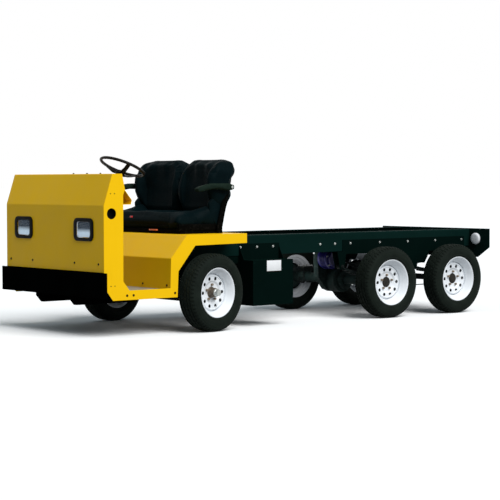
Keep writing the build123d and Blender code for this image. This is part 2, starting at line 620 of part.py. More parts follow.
back_front = [
    (BACK_IN_Y, 700), (BACK_IN_Y, 1158), (48, 1206), (108, BACK_TOP), (400, BACK_TOP), (458, 1226),
    (BACK_OUT_Y, 1166), (BACK_OUT_Y, 700),
]
back = prism_y(back_side, BACK_IN_Y, BACK_OUT_Y)
back += prism_y(bolster_side, BACK_IN_Y, BACK_IN_Y + BOLSTER_W)
back += prism_y(bolster_side, BACK_OUT_Y - BOLSTER_W, BACK_OUT_Y)
back &= prism_x(back_front, -400, 0)
for word, side in SIDES:
    save(f"seat_back_{word}", mirrored(back, side))

# Armrests, each hinged on its pin
arm_side = [
    (-286, 1030), (-286, 1062), (-250, 1072), (-60, 1072), (80, 1056), (108, 1040), (100, 1016),
    (60, 1012), (-60, 1026), (-250, 1022),
]
arm = prism_y(arm_side, 503, 553)
arm -= rod((PIVOT_X, 500, PIVOT_Z), (PIVOT_X, 547, PIVOT_Z), 9 + PIN_GAP)
for word, side in SIDES:
    save(f"armrest_{word}", mirrored(arm, side))
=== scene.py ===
import json
import math

import bpy
from mathutils import Matrix, Vector


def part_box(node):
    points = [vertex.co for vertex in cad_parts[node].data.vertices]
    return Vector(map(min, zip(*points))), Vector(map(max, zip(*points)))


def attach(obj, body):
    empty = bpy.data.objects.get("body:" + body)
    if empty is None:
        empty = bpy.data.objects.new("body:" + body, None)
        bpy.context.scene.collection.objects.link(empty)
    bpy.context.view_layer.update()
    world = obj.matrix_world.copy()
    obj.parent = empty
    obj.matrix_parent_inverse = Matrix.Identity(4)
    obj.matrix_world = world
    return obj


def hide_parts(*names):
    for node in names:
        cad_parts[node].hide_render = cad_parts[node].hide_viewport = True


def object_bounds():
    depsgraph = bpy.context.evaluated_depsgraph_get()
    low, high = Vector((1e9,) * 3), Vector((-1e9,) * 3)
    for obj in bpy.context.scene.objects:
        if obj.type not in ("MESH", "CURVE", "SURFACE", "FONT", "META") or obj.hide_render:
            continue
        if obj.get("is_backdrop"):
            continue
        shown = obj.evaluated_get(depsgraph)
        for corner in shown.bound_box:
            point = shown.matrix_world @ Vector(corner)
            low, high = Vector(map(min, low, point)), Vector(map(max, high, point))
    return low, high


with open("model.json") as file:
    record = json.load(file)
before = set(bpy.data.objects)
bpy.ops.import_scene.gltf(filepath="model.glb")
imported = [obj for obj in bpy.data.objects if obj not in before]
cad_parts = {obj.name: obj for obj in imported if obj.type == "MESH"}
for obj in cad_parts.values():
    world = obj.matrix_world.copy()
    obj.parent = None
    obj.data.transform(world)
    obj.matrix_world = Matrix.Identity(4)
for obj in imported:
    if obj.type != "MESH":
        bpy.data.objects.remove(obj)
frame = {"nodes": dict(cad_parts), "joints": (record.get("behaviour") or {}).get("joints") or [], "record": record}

bl_info = {
    "name": "Burden carrier looks",
    "version": (1, 0, 0),
    "blender": (4, 5, 0),
    "location": "3D View > Sidebar > Carrier",
    "description": "Dresses the frame of a three-axle burden carrier with its finished pieces",
    "category": "Object",
}

UP = Vector((0, 0, 1))
FRONT_AXLE_X = 1002.0  # mm ahead of the frame's origin
MID_AXLE_X, REAR_AXLE_X = -1808.0, -2567.0  # mm from the front axle
SIDES = (("left", 1), ("right", -1))
BODY_OF = {n: b for b, ns in frame["record"]["behaviour"]["bodies"].items() for n in ns}
JOINTS = {j["name"]: j for j in frame["joints"]}
WHEELS = [(row, word, side) for row in ("front", "mid", "rear") for word, side in SIDES]


# Sizes and colours


class CarrierSizes(bpy.types.PropertyGroup):
    """Lengths in metres and counts of the pieces that are modelled here"""

    sheet_edge: bpy.props.FloatProperty(
        name="Sheet edge", description="Rounding of cut sheet edges", default=0.001, min=0, unit="LENGTH"
    )
    fold_radius: bpy.props.FloatProperty(
        name="Fold radius", description="Outside radius of folded sheet", default=0.006, min=0,
        unit="LENGTH",
    )
    rail_radius: bpy.props.FloatProperty(
        name="Rail corner", description="Outside corner radius of the rolled rails", default=0.012, min=0,
        unit="LENGTH",
    )
    tread_steps: bpy.props.IntProperty(
        name="Tread steps", description="Divisions around a tyre", default=120, min=24
    )
    groove_depth: bpy.props.FloatProperty(
        name="Groove depth", description="Depth of the tread grooves", default=0.0065, min=0,
        unit="LENGTH",
    )
    sipe_depth: bpy.props.FloatProperty(
        name="Sipe depth", description="Depth of the cuts across the shoulders", default=0.0035, min=0,
        unit="LENGTH",
    )
    hole_count: bpy.props.IntProperty(
        name="Disc holes", description="Round holes in a wheel disc", default=10, min=3
    )
    hole_ring: bpy.props.FloatProperty(
        name="Hole ring", description="Radius of the ring of disc holes", default=0.103, unit="LENGTH"
    )
    hole_radius: bpy.props.FloatProperty(
        name="Hole radius", description="Radius of a disc hole", default=0.0135, unit="LENGTH"
    )
    lug_ring: bpy.props.FloatProperty(
        name="Lug ring", description="Radius of the ring of wheel nuts", default=0.0572, unit="LENGTH"
    )
    seat_swell: bpy.props.FloatProperty(
        name="Seat swell", description="Most that the stuffing moves the seat's skin", default=0.02,
        unit="LENGTH",
    )


class CarrierColours(bpy.types.PropertyGroup):
    """Main colours of the carrier, in linear light"""

    body: bpy.props.FloatVectorProperty(
        name="Body", description="Enamel of the body sheets", subtype="COLOR",
        default=(0.93, 0.545, 0.003),
    )
    chassis: bpy.props.FloatVectorProperty(
        name="Chassis", description="Enamel of rails and tail", subtype="COLOR",
        default=(0.0026, 0.0135, 0.0115),
    )
    wheels: bpy.props.FloatVectorProperty(
        name="Wheels", description="Enamel of rims and discs", subtype="COLOR", default=(0.8, 0.83, 0.86)
    )
    rubber: bpy.props.FloatVectorProperty(
        name="Rubber", description="Tyre rubber", subtype="COLOR", default=(0.0088, 0.0126, 0.0100)
    )
    vinyl: bpy.props.FloatVectorProperty(
        name="Vinyl", description="Seat covers", subtype="COLOR", default=(0.0018, 0.0060, 0.0072)
    )
    motor: bpy.props.FloatVectorProperty(
        name="Motor", description="Enamel of the drive motor", subtype="COLOR",
        default=(0.013, 0.011, 0.115),
    )


def sizes():
    """The scene's sizes."""
    return bpy.context.scene.carrier_sizes


def colours():
    """The scene's colours."""
    return bpy.context.scene.carrier_colours


def at(x, y, z):
    """A point in metres from drawing millimetres, x counted from the front axle."""
    return Vector(((x + FRONT_AXLE_X) / 1000.0, y / 1000.0, z / 1000.0))


# Finishes

BARE_METAL = (0.16, 0.15, 0.135)
ROAD_DUST = (0.17, 0.155, 0.13)


def wire(mat):
    """The node tree's maker, linker and shader."""
    nodes = mat.node_tree.nodes
    links = mat.node_tree.links
    return nodes, links, nodes["Principled BSDF"]


def noise(nodes, links, coord, scale, detail=4.0):
    """A cloud pattern on object coordinates."""
    made = nodes.new("ShaderNodeTexNoise")
    made.inputs["Scale"].default_value = scale
    made.inputs["Detail"].default_value = detail
    links.new(coord.outputs["Object"], made.inputs["Vector"])
    return made.outputs["Fac"]


def product(nodes, links, first, second):
    """Two values multiplied."""
    made = nodes.new("ShaderNodeMath")
    made.operation = "MULTIPLY"
    links.new(first, made.inputs[0])
    links.new(second, made.inputs[1])
    return made.outputs["Value"]


def spread(nodes, links, source, low, high, out_low, out_high):
    """A value mapped from one range to another."""
    made = nodes.new("ShaderNodeMapRange")
    made.inputs["From Min"].default_value = low
    made.inputs["From Max"].default_value = high
    made.inputs["To Min"].default_value = out_low
    made.inputs["To Max"].default_value = out_high
    links.new(source, made.inputs["Value"])
    return made.outputs["Result"]


def blend_colours(nodes, links, factor, first, second):
    """Mix of two colours, each a colour or a socket."""
    made = nodes.new("ShaderNodeMix")
    made.data_type = "RGBA"
    for socket, value in ((made.inputs["A"], first), (made.inputs["B"], second)):
        if isinstance(value, bpy.types.NodeSocket):
            links.new(value, socket)
        else:
            socket.default_value = (*value, 1.0)
    links.new(factor, made.inputs["Factor"])
    return made.outputs["Result"]


def finish(
    name, colour, rough, metal=0.0, spec=0.5, coat=0.0, blotch=0.12, cloud=7.0, grain=0.1,
    grain_scale=500.0, relief=0.0004, dust=0.0, wear=0.0, cells=0.0,
):
    """One finish: clouded colour and gloss, fine relief, dust low down and rubbed edges.

    The colour is given, or named as one of the scene's; blotch is its spread either way. Cloud and
    grain_scale are patches to the metre, grain and relief the strength and depth of the fine bump,
    and cells, where given, makes that bump pores instead of grit.
    """
    mat = bpy.data.materials.get("look_" + name)
    if mat:
        return mat
    if isinstance(colour, str):
        colour = getattr(colours(), colour)
    mat = bpy.data.materials.new("look_" + name)
    mat.use_nodes = True
    nodes, links, shader = wire(mat)
    shader.inputs["Metallic"].default_value = metal
    shader.inputs["Specular IOR Level"].default_value = spec
    shader.inputs["Coat Weight"].default_value = coat
    shader.inputs["Coat Roughness"].default_value = 0.08
    coord = nodes.new("ShaderNodeTexCoord")
    broad = noise(nodes, links, coord, cloud)
    share = spread(nodes, links, broad, 0.3, 0.7, 0.0, 1.0)
    dark = [c * (1 - blotch) for c in colour]
    light = [c * (1 + blotch) for c in colour]
    tint = blend_colours(nodes, links, share, dark, light)
    if wear:
        edge = nodes.new("ShaderNodeNewGeometry")
        scuff = noise(nodes, links, coord, 60.0, 6.0)
        ridge = spread(nodes, links, edge.outputs["Pointiness"], 0.52, 0.62, 0.0, 1.0)
        patch = spread(nodes, links, scuff, 0.52, 0.68, 0.0, wear)
        tint = blend_colours(nodes, links, product(nodes, links, ridge, patch), tint, BARE_METAL)
    if dust:
        height = nodes.new("ShaderNodeSeparateXYZ")
        links.new(coord.outputs["Object"], height.inputs["Vector"])
        low = spread(nodes, links, height.outputs["Z"], 0.0, 0.6, dust, 0.0)
        grit = noise(nodes, links, coord, 24.0, 8.0)
        film = spread(nodes, links, grit, 0.35, 0.75, 0.0, 1.0)
        tint = blend_colours(nodes, links, product(nodes, links, low, film), tint, ROAD_DUST)
    links.new(tint, shader.inputs["Base Color"])
    sheen = noise(nodes, links, coord, cloud * 4.0, 6.0)
    gloss = spread(nodes, links, sheen, 0.3, 0.7, max(rough - 0.06, 0.03), min(rough + 0.08, 1.0))
    links.new(gloss, shader.inputs["Roughness"])
    if cells:
        pores = nodes.new("ShaderNodeTexVoronoi")
        pores.inputs["Scale"].default_value = cells
        links.new(coord.outputs["Object"], pores.inputs["Vector"])
        height_map = pores.outputs["Distance"]
    else:
        height_map = noise(nodes, links, coord, grain_scale, 3.0)
    bump = nodes.new("ShaderNodeBump")
    bump.inputs["Strength"].default_value = grain
    bump.inputs["Distance"].default_value = relief
    links.new(height_map, bump.inputs["Height"])
    links.new(bump.outputs["Normal"], shader.inputs["Normal"])
    return mat


def two_tone(name, above, below, low, high):
    """A gloss finish that changes from one colour to another between two heights: a painted reflection."""
    mat = finish(name, above, 0.5, spec=0.03, blotch=0.1, grain=0.02, grain_scale=90.0)
    nodes, links, shader = wire(mat)
    coord = nodes.new("ShaderNodeTexCoord")
    height = nodes.new("ShaderNodeSeparateXYZ")
    links.new(coord.outputs["Object"], height.inputs["Vector"])
    share = spread(nodes, links, height.outputs["Z"], low, high, 0.0, 1.0)
    links.new(blend_colours(nodes, links, share, below, above), shader.inputs["Base Color"])
    return mat


def glass(name, colour, rough, transmission):
    """Clear or tinted lamp glass with a faint waviness."""
    mat = finish(name, colour, rough, spec=0.12, blotch=0.03, grain=0.01, grain_scale=60.0)
    shader = mat.node_tree.nodes["Principled BSDF"]
    shader.inputs["Transmission Weight"].default_value = transmission
    shader.inputs["IOR"].default_value = 1.1
    return mat


# Each finish: the record's slot, what makes it, and its values
FINISHES = {
    "body_enamel": ("yellow_paint", finish, dict(
        colour="body", rough=0.38, spec=0.1, blotch=0.025, cloud=3.0, grain=0.05, grain_scale=220.0,
        relief=0.0005,
    )),
    "chassis_enamel": ("chassis_paint", finish, dict(
        colour="chassis", rough=0.42, spec=0.008, blotch=0.1, cloud=5.0, grain=0.06, grain_scale=260.0,
    )),
    # A darker copy of the chassis enamel: painted shade for the boxes, hangers, shelves and braces under and
    # beside the rails.
    "box_enamel": ("chassis_paint", finish, dict(
        colour=(0.0012, 0.0056, 0.0046), rough=0.42, spec=0.004, blotch=0.1, cloud=5.0, grain=0.06,
        grain_scale=260.0,
    )),
    # A near-black copy of the chassis enamel: painted shade on the front-facing bumper, its seal and the front
    # frame.
    "bumper_enamel": ("chassis_paint", finish, dict(
        colour=(0.0012, 0.0014, 0.0014), rough=0.45, spec=0.0, blotch=0.2, cloud=5.0, grain=0.1,
        grain_scale=260.0,
    )),
    "deck_enamel": ("chassis_paint", finish, dict(
        colour=(0.004, 0.011, 0.0105), rough=0.5, spec=0.03, blotch=0.4, cloud=9.0, grain=0.3,
        grain_scale=140.0, relief=0.0008, wear=0.3,
    )),
    "floor_enamel": ("floor_paint", finish, dict(
        colour=(0.3, 0.27, 0.2), rough=0.6, spec=0.3, blotch=0.25, cloud=12.0, grain=0.3,
        grain_scale=180.0, wear=0.6,
    )),
    "wheel_enamel": ("wheel_paint", finish, dict(
        colour="wheels", rough=0.33, spec=0.4, blotch=0.04, cloud=14.0, grain=0.06, grain_scale=300.0,
    )),
    "rubber": ("tyre_rubber", finish, dict(
        colour="rubber", rough=0.6, spec=0.03, blotch=0.2, cloud=16.0, grain=0.3, grain_scale=700.0,
    )),
    "moulded_black": ("black_plastic", finish, dict(
        colour=(0.003, 0.0036, 0.0036), rough=0.45, spec=0.03, grain=0.25, cells=900.0, relief=0.0002,
    )),
    "grip_plastic": ("wheel_plastic", finish, dict(
        colour=(0.010, 0.0088, 0.0072), rough=0.38, spec=0.08, grain=0.2, cells=1100.0, relief=0.00015,
    )),
    "lens_glass": ("lamp_lens", glass, dict(
        colour=(0.86, 0.92, 0.96), rough=0.02, transmission=0.98,
    )),
    # The bowl's colour is a painted reflection: dark blue-grey above, bright white below.
    "reflector": ("lamp_lens", two_tone, dict(
        above=(0.016, 0.028, 0.045), below=(0.70, 0.77, 0.84), low=0.732, high=0.764,
    )),
    "bulb": ("lamp_lens", finish, dict(
        colour=(0.92, 0.92, 0.88), rough=0.2, spec=0.5, blotch=0.02, grain=0.02,
    )),
    "tail_white": ("tail_lens", finish, dict(
        colour=(0.95, 0.97, 1.0), rough=0.3, spec=0.5, blotch=0.03, grain=0.05, grain_scale=300.0,
    )),
    "tail_red": ("tail_lens", finish, dict(
        colour=(0.35, 0.006, 0.004), rough=0.16, spec=0.5, coat=0.4, blotch=0.08, grain=0.3, cells=260.0,
    )),
    "vinyl": ("seat_vinyl", finish, dict(
        colour="vinyl", rough=0.4, spec=0.012, blotch=0.2, cloud=10.0, grain=0.3, cells=760.0,
        relief=0.0003,
    )),
    "arm_cover": ("arm_vinyl", finish, dict(
        colour=(0.0095, 0.0180, 0.0130), rough=0.46, spec=0.01, blotch=0.2, cloud=20.0, grain=0.35,
        cells=820.0, relief=0.0003,
    )),
    "pedal_black": ("pedal_steel", finish, dict(
        colour=(0.006, 0.007, 0.007), rough=0.4, spec=0.05, blotch=0.25, grain=0.2, wear=0.9,
    )),
    "seat_black": ("seat_steel", finish, dict(
        colour=(0.0020, 0.0020, 0.0017), rough=0.42, spec=0.004, blotch=0.3, grain=0.2, wear=0.1,
    )),
    "axle_iron": ("axle_steel", finish, dict(
        colour=(0.006, 0.0095, 0.0095), rough=0.5, spec=0.05, blotch=0.35, cloud=18.0, grain=0.5,
        grain_scale=170.0, relief=0.001, dust=0.08, wear=0.4,
    )),
    "gear_iron": ("axle_steel", finish, dict(
        colour=(0.013, 0.026, 0.024), rough=0.5, spec=0.05, blotch=0.3, cloud=20.0, grain=0.6,
        grain_scale=150.0, relief=0.0012, dust=0.1, wear=0.4,
    )),
    "spring_black": ("spring_steel", finish, dict(
        colour=(0.006, 0.01, 0.01), rough=0.48, spec=0.05, blotch=0.3, grain=0.3, grain_scale=220.0,
        dust=0.08, wear=0.4,
    )),
    "drum_black": ("axle_steel", finish, dict(
        colour=(0.004, 0.0045, 0.0045), rough=0.6, spec=0.02, blotch=0.3, cloud=18.0, grain=0.4,
        grain_scale=170.0,
    )),
    "hub_metal": ("axle_steel", finish, dict(
        colour=(0.2, 0.155, 0.11), rough=0.42, metal=0.75, blotch=0.35, cloud=40.0, grain=0.4,
        grain_scale=260.0,
    )),
    "hub_brown": ("axle_steel", finish, dict(
        colour=(0.105, 0.082, 0.060), rough=0.45, metal=0.6, blotch=0.35, cloud=40.0, grain=0.4,
        grain_scale=260.0,
    )),
    "hub_dark": ("axle_steel", finish, dict(
        colour=(0.022, 0.020, 0.016), rough=0.5, metal=0.1, spec=0.1, blotch=0.3, cloud=40.0, grain=0.4,
        grain_scale=260.0,
    )),
    "zinc": ("axle_steel", finish, dict(
        colour=(0.42, 0.44, 0.42), rough=0.36, metal=0.85, blotch=0.15, cloud=60.0, grain=0.2,
    )),
    "body_fixing": ("yellow_paint", finish, dict(
        colour=(0.02, 0.013, 0.005), rough=0.45, spec=0.05, blotch=0.25, cloud=60.0, grain=0.2,
    )),
    "motor_enamel": ("motor_paint", finish, dict(
        colour="motor", rough=0.34, spec=0.4, coat=0.1, blotch=0.2, cloud=14.0, grain=0.15,
        grain_scale=240.0, dust=0.15,
    )),
    "plate_white": ("wheel_paint", finish, dict(
        colour=(0.82, 0.83, 0.84), rough=0.4, spec=0.4, blotch=0.03, cloud=30.0, grain=0.05,
    )),
    "amber_plastic": ("black_plastic", finish, dict(
        colour=(0.75, 0.16, 0.05), rough=0.4, spec=0.5, blotch=0.1, grain=0.1,
    )),
    "red_plastic": ("black_plastic", finish, dict(
        colour=(0.45, 0.02, 0.025), rough=0.35, spec=0.5, blotch=0.1, grain=0.1,
    )),
}


# Modelling by hand

SAME_POINT = 0.00001  # m; closer vertices are one


def bare():
    """Back to object mode with nothing selected."""
    if bpy.context.mode != "OBJECT":
        bpy.ops.object.mode_set(mode="OBJECT")
    bpy.ops.object.select_all(action="DESELECT")


def take(ob):
    """Makes one object the active and only selected one."""
    bare()
    ob.select_set(True)
    bpy.context.view_layer.objects.active = ob


def edit(ob, kind="VERT"):
    """Edit mode on one object, selecting vertices, edges or faces."""
    take(ob)
    bpy.ops.object.mode_set(mode="EDIT")
    bpy.ops.mesh.select_mode(type=kind)


def pick(ob, kind, test):
    """Selects, in edit mode, the faces, edges or vertices whose points pass a test."""
    edit(ob, kind)
    bpy.ops.mesh.select_all(action="DESELECT")
    bpy.ops.object.mode_set(mode="OBJECT")
    points = ob.data.vertices
    if kind == "VERT":
        for v in points:
            v.select = test(v.co)
    else:
        for item in ob.data.polygons if kind == "FACE" else ob.data.edges:
            item.select = test([points[i].co for i in item.vertices])
    bpy.ops.object.mode_set(mode="EDIT")


def first_point(name, point):
    """A new object with one vertex, left in edit mode."""
    bare()
    bpy.ops.mesh.primitive_plane_add(size=0.01)
    ob = bpy.context.object
    ob.name = name
    ob.data.name = name
    edit(ob)
    bpy.ops.mesh.select_all(action="SELECT")
    bpy.ops.mesh.merge(type="CENTER")
    bpy.ops.transform.translate(value=Vector(point))
    return ob


def trace(points):
    """Extrudes the selected vertex from point to point."""
    for a, b in zip(points, points[1:]):
        bpy.ops.mesh.extrude_vertices_move(TRANSFORM_OT_translate={"value": Vector(b) - Vector(a)})


def tidy_mesh():
    """Merges doubles, turns the faces outwards and leaves edit mode."""
    bpy.ops.mesh.select_all(action="SELECT")
    bpy.ops.mesh.remove_doubles(threshold=SAME_POINT)
    bpy.ops.mesh.normals_make_consistent(inside=False)
    bpy.ops.object.mode_set(mode="OBJECT")


def slab(name, points, move):
    """A flat outline filled and drawn out by a vector."""
    ob = first_point(name, points[0])
    trace(points)
    bpy.ops.mesh.select_all(action="SELECT")
    bpy.ops.mesh.edge_face_add()
    bpy.ops.mesh.extrude_region_move(TRANSFORM_OT_translate={"value": Vector(move)})
    tidy_mesh()
    return ob


def strip(name, points, thick, wide):
    """A line of points drawn out twice, into a bent bar."""
    ob = first_point(name, points[0])
    trace(points)
    for move in (thick, wide):
        bpy.ops.mesh.select_all(action="SELECT")
        bpy.ops.mesh.extrude_region_move(TRANSFORM_OT_translate={"value": Vector(move)})
    tidy_mesh()
    return ob


def lathe(name, profile, steps=64, closed=True):
    """A ring or cap turned about the Y axis from (radius, y) points."""
    points = [Vector((r, y, 0)) for r, y in profile]
    if closed:
        points.append(points[0])
    ob = first_point(name, points[0])
    trace(points)
    bpy.ops.mesh.select_all(action="SELECT")
    bpy.ops.mesh.spin(steps=steps, angle=2 * math.pi, center=(0, 0, 0), axis=(0, 1, 0))
    tidy_mesh()
    return ob


def pipe(name, points, radius):
    """A round bar or tube along a smooth path."""
    bare()
    bpy.ops.curve.primitive_nurbs_path_add()
    ob = bpy.context.object
    line = ob.data.splines[0]
    if len(points) > len(line.points):
        line.points.add(len(points) - len(line.points))
    else:
        bpy.data.curves[ob.data.name].splines.remove(line)
        line = ob.data.splines.new("NURBS")
        line.points.add(len(points) - 1)
    for knot, point in zip(line.points, points):
        knot.co = (*point, 1.0)
    line.order_u = 3
    line.use_endpoint_u = True
    line.resolution_u = 6
    ob.data.bevel_depth = radius
    ob.data.bevel_resolution = 3
    ob.data.use_fill_caps = True
    ob.location = (0, 0, 0)
    bpy.ops.object.convert(target="MESH")
    ob = bpy.context.object
    ob.name = name
    ob.data.name = name
    edit(ob)
    tidy_mesh()
    return ob


def modify(ob, kind, **settings):
    """Adds a modifier and applies it."""
    take(ob)
    modifier = ob.modifiers.new(kind.title(), kind)
    for key, value in settings.items():
        setattr(modifier, key, value)
    bpy.ops.object.modifier_apply(modifier=modifier.name)


def soften(ob, width, segments=2):
    """Rounds the sharp edges and shades the rest smooth."""
    modify(
        ob, "BEVEL", width=width, segments=segments, limit_method="ANGLE", angle_limit=math.radians(34.0)
    )
    shade(ob)


def shade(ob, angle=36.0):
    """Smooth shading up to an angle in degrees, sharp edges past it."""
    take(ob)
    bpy.ops.object.shade_smooth_by_angle(angle=math.radians(angle))


def again(ob, name, matrix):
    """A copy with its own mesh, moved in its mesh."""
    new = bpy.data.objects.new(name, ob.data.copy())
    bpy.context.scene.collection.objects.link(new)
    new.data.name = name
    new.data.transform(matrix)
    if matrix.determinant() < 0:
        new.data.flip_normals()
    return new


def drop(*obs):
    """Removes patterns and cutters."""
    for ob in obs:
        bpy.data.objects.remove(ob)


def placed(ob, name, matrix):
    """A piece drawn about the origin, set in its place by its mesh."""
    made = again(ob, name, matrix)
    drop(ob)
    return made


def join(name, obs):
    """Several objects made one."""
    bare()
    for ob in obs:
        ob.select_set(True)
    bpy.context.view_layer.objects.active = obs[0]
    bpy.ops.object.join()
    obs[0].name = name
    obs[0].data.name = name
    return obs[0]


def keep(ob, look, body="chassis", nodes=()):
    """Gives a finished piece its finish and its body, and hides the CAD nodes it stands for."""
    slot, maker, values = FINISHES[look]
    ob.data.materials.clear()
    ob.data.materials.append(maker(look, **values))
    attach(ob, body)
    if nodes:
        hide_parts(*nodes)
    return ob


def both_sides(ob, name, look, body="chassis", nodes=()):
    """Keeps a left-hand piece and its mirror image, with {} in the names for the side."""
    flip = Matrix.Diagonal((1, -1, 1, 1))
    twin = again(ob, name.format("right"), flip)
    ob.name = name.format("left")
    made = []
    for piece, word in ((ob, "left"), (twin, "right")):
        made.append(keep(piece, look, body.format(word), [n.format(word) for n in nodes]))
    return made


def dress(node, look, width=None, segments=2, bends=()):
    """A CAD piece with softened edges; bends lists (test, radius, segments) of its larger ones."""
    ob = bpy.data.objects.new(node + "_skin", frame["nodes"][node].data.copy())
    bpy.context.scene.collection.objects.link(ob)
    ob.data.name = ob.name
    take(ob)
    bpy.ops.mesh.customdata_custom_splitnormals_clear()
    edit(ob)
    bpy.ops.mesh.select_all(action="SELECT")
    bpy.ops.mesh.remove_doubles(threshold=SAME_POINT)
    bpy.ops.mesh.dissolve_limited(angle_limit=math.radians(0.5))
    bpy.ops.object.mode_set(mode="OBJECT")
    for test, radius, steps in bends:
        pick(ob, "EDGE", test)
        bpy.ops.mesh.bevel(offset=radius, segments=steps, affect="EDGES")
        bpy.ops.object.mode_set(mode="OBJECT")
    soften(ob, sizes().sheet_edge if width is None else width, segments)
    modify(ob, "WEIGHTED_NORMAL", keep_sharp=True)
    return keep(ob, look, BODY_OF[node], [node])


def along(axis, *places, slack=0.0015):
    """A test for edges along one axis through any of some places on the other two."""
    others = [i for i in range(3) if i != axis]

    def test(points):
        a, b = points
        if any(abs(a[i] - b[i]) > slack for i in others):
            return False
        return any(abs(a[others[0]] - p) < slack and abs(a[others[1]] - q) < slack for p, q in places)

    return test


WASHER = 0.0015  # m thick


def hex_bolt(size, tall):
    """A hexagon head on its washer, standing on z = 0."""
    bare()
    bpy.ops.mesh.primitive_cylinder_add(
        vertices=6, radius=size, depth=tall, location=(0, 0, tall / 2 + WASHER)
    )
    head = bpy.context.object
    bpy.ops.object.transform_apply(location=True)
    modify(head, "BEVEL", width=size * 0.12, segments=1, limit_method="ANGLE", angle_limit=1.0)
    bpy.ops.mesh.primitive_cylinder_add(
        vertices=18, radius=size * 1.45, depth=WASHER, location=(0, 0, WASHER / 2)
    )
    washer = bpy.context.object
    bpy.ops.object.transform_apply(location=True)
    modify(washer, "BEVEL", width=0.0004, segments=1, limit_method="ANGLE", angle_limit=1.0)
    bolt = join("bolt_pattern", [head, washer])
    shade(bolt, 25.0)
    return bolt


def hex_nut(size, tall):
    """A hexagon nut with a rounded end, standing on z = 0."""
    bare()
    bpy.ops.mesh.primitive_cylinder_add(vertices=6, radius=size, depth=tall, location=(0, 0, tall / 2))
    nut = bpy.context.object
    bpy.ops.object.transform_apply(location=True)
    modify(nut, "BEVEL", width=size * 0.14, segments=2, limit_method="ANGLE", angle_limit=1.0)
    shade(nut, 25.0)
    return nut


def rivet(size):
    """A low round head standing on z = 0."""
    bare()
    bpy.ops.mesh.primitive_uv_sphere_add(segments=14, ring_count=8, radius=size)
    head = bpy.context.object
    edit(head)
    bpy.ops.mesh.select_all(action="SELECT")
    bpy.ops.transform.resize(value=(1, 1, 0.55))
    bpy.ops.mesh.bisect(plane_co=(0, 0, 0), plane_no=(0, 0, 1), clear_inner=True, use_fill=True)
    tidy_mesh()
    shade(head)
    return head


def scatter(pattern, name, places, look, body="chassis"):
    """One mesh of many small fixings, each at a (point, outward direction) and turned its own way."""
    made = []
    for i, (point, way) in enumerate(places):
        turn = Vector(way).to_track_quat("Z", "Y").to_matrix().to_4x4()
        twist = Matrix.Rotation(0.7 * i, 4, "Z")
        made.append(again(pattern, name, Matrix.Translation(point) @ turn @ twist))
    drop(pattern)
    return keep(join(name, made), look, body)


def mirror_places(places):
    """Fixing places of the left side and their mirror images."""
    return places + [((p[0], -p[1], p[2]), (d[0], -d[1], d[2])) for p, d in places]


def block(name, low, high, width=0.001, segments=2):
    """A cut block between two corners, its edges rounded."""
    a, b = Vector(low), Vector(high)
    ob = slab(name, [a, (b.x, a.y, a.z), (b.x, b.y, a.z), (a.x, b.y, a.z)], (0, 0, b.z - a.z))
    soften(ob, width, segments)
    return ob


def wheel_place(row, side):
    """Matrix from a wheel drawn about the origin, outer face to +Y, to its place."""
    joint = JOINTS[f"spin_{row}_{'left' if side > 0 else 'right'}"]
    way = Vector(joint["axis"])
    if way.y * side < 0:
        way = -way
    turn = Matrix.Rotation(math.atan2(way.y, way.x) - math.pi / 2, 4, "Z")
    return Matrix.Translation(joint["pos_m"]) @ turn


class CarrierOperator(bpy.types.Operator):
    """What the carrier's operators have in common"""

    bl_options = {"REGISTER", "UNDO"}


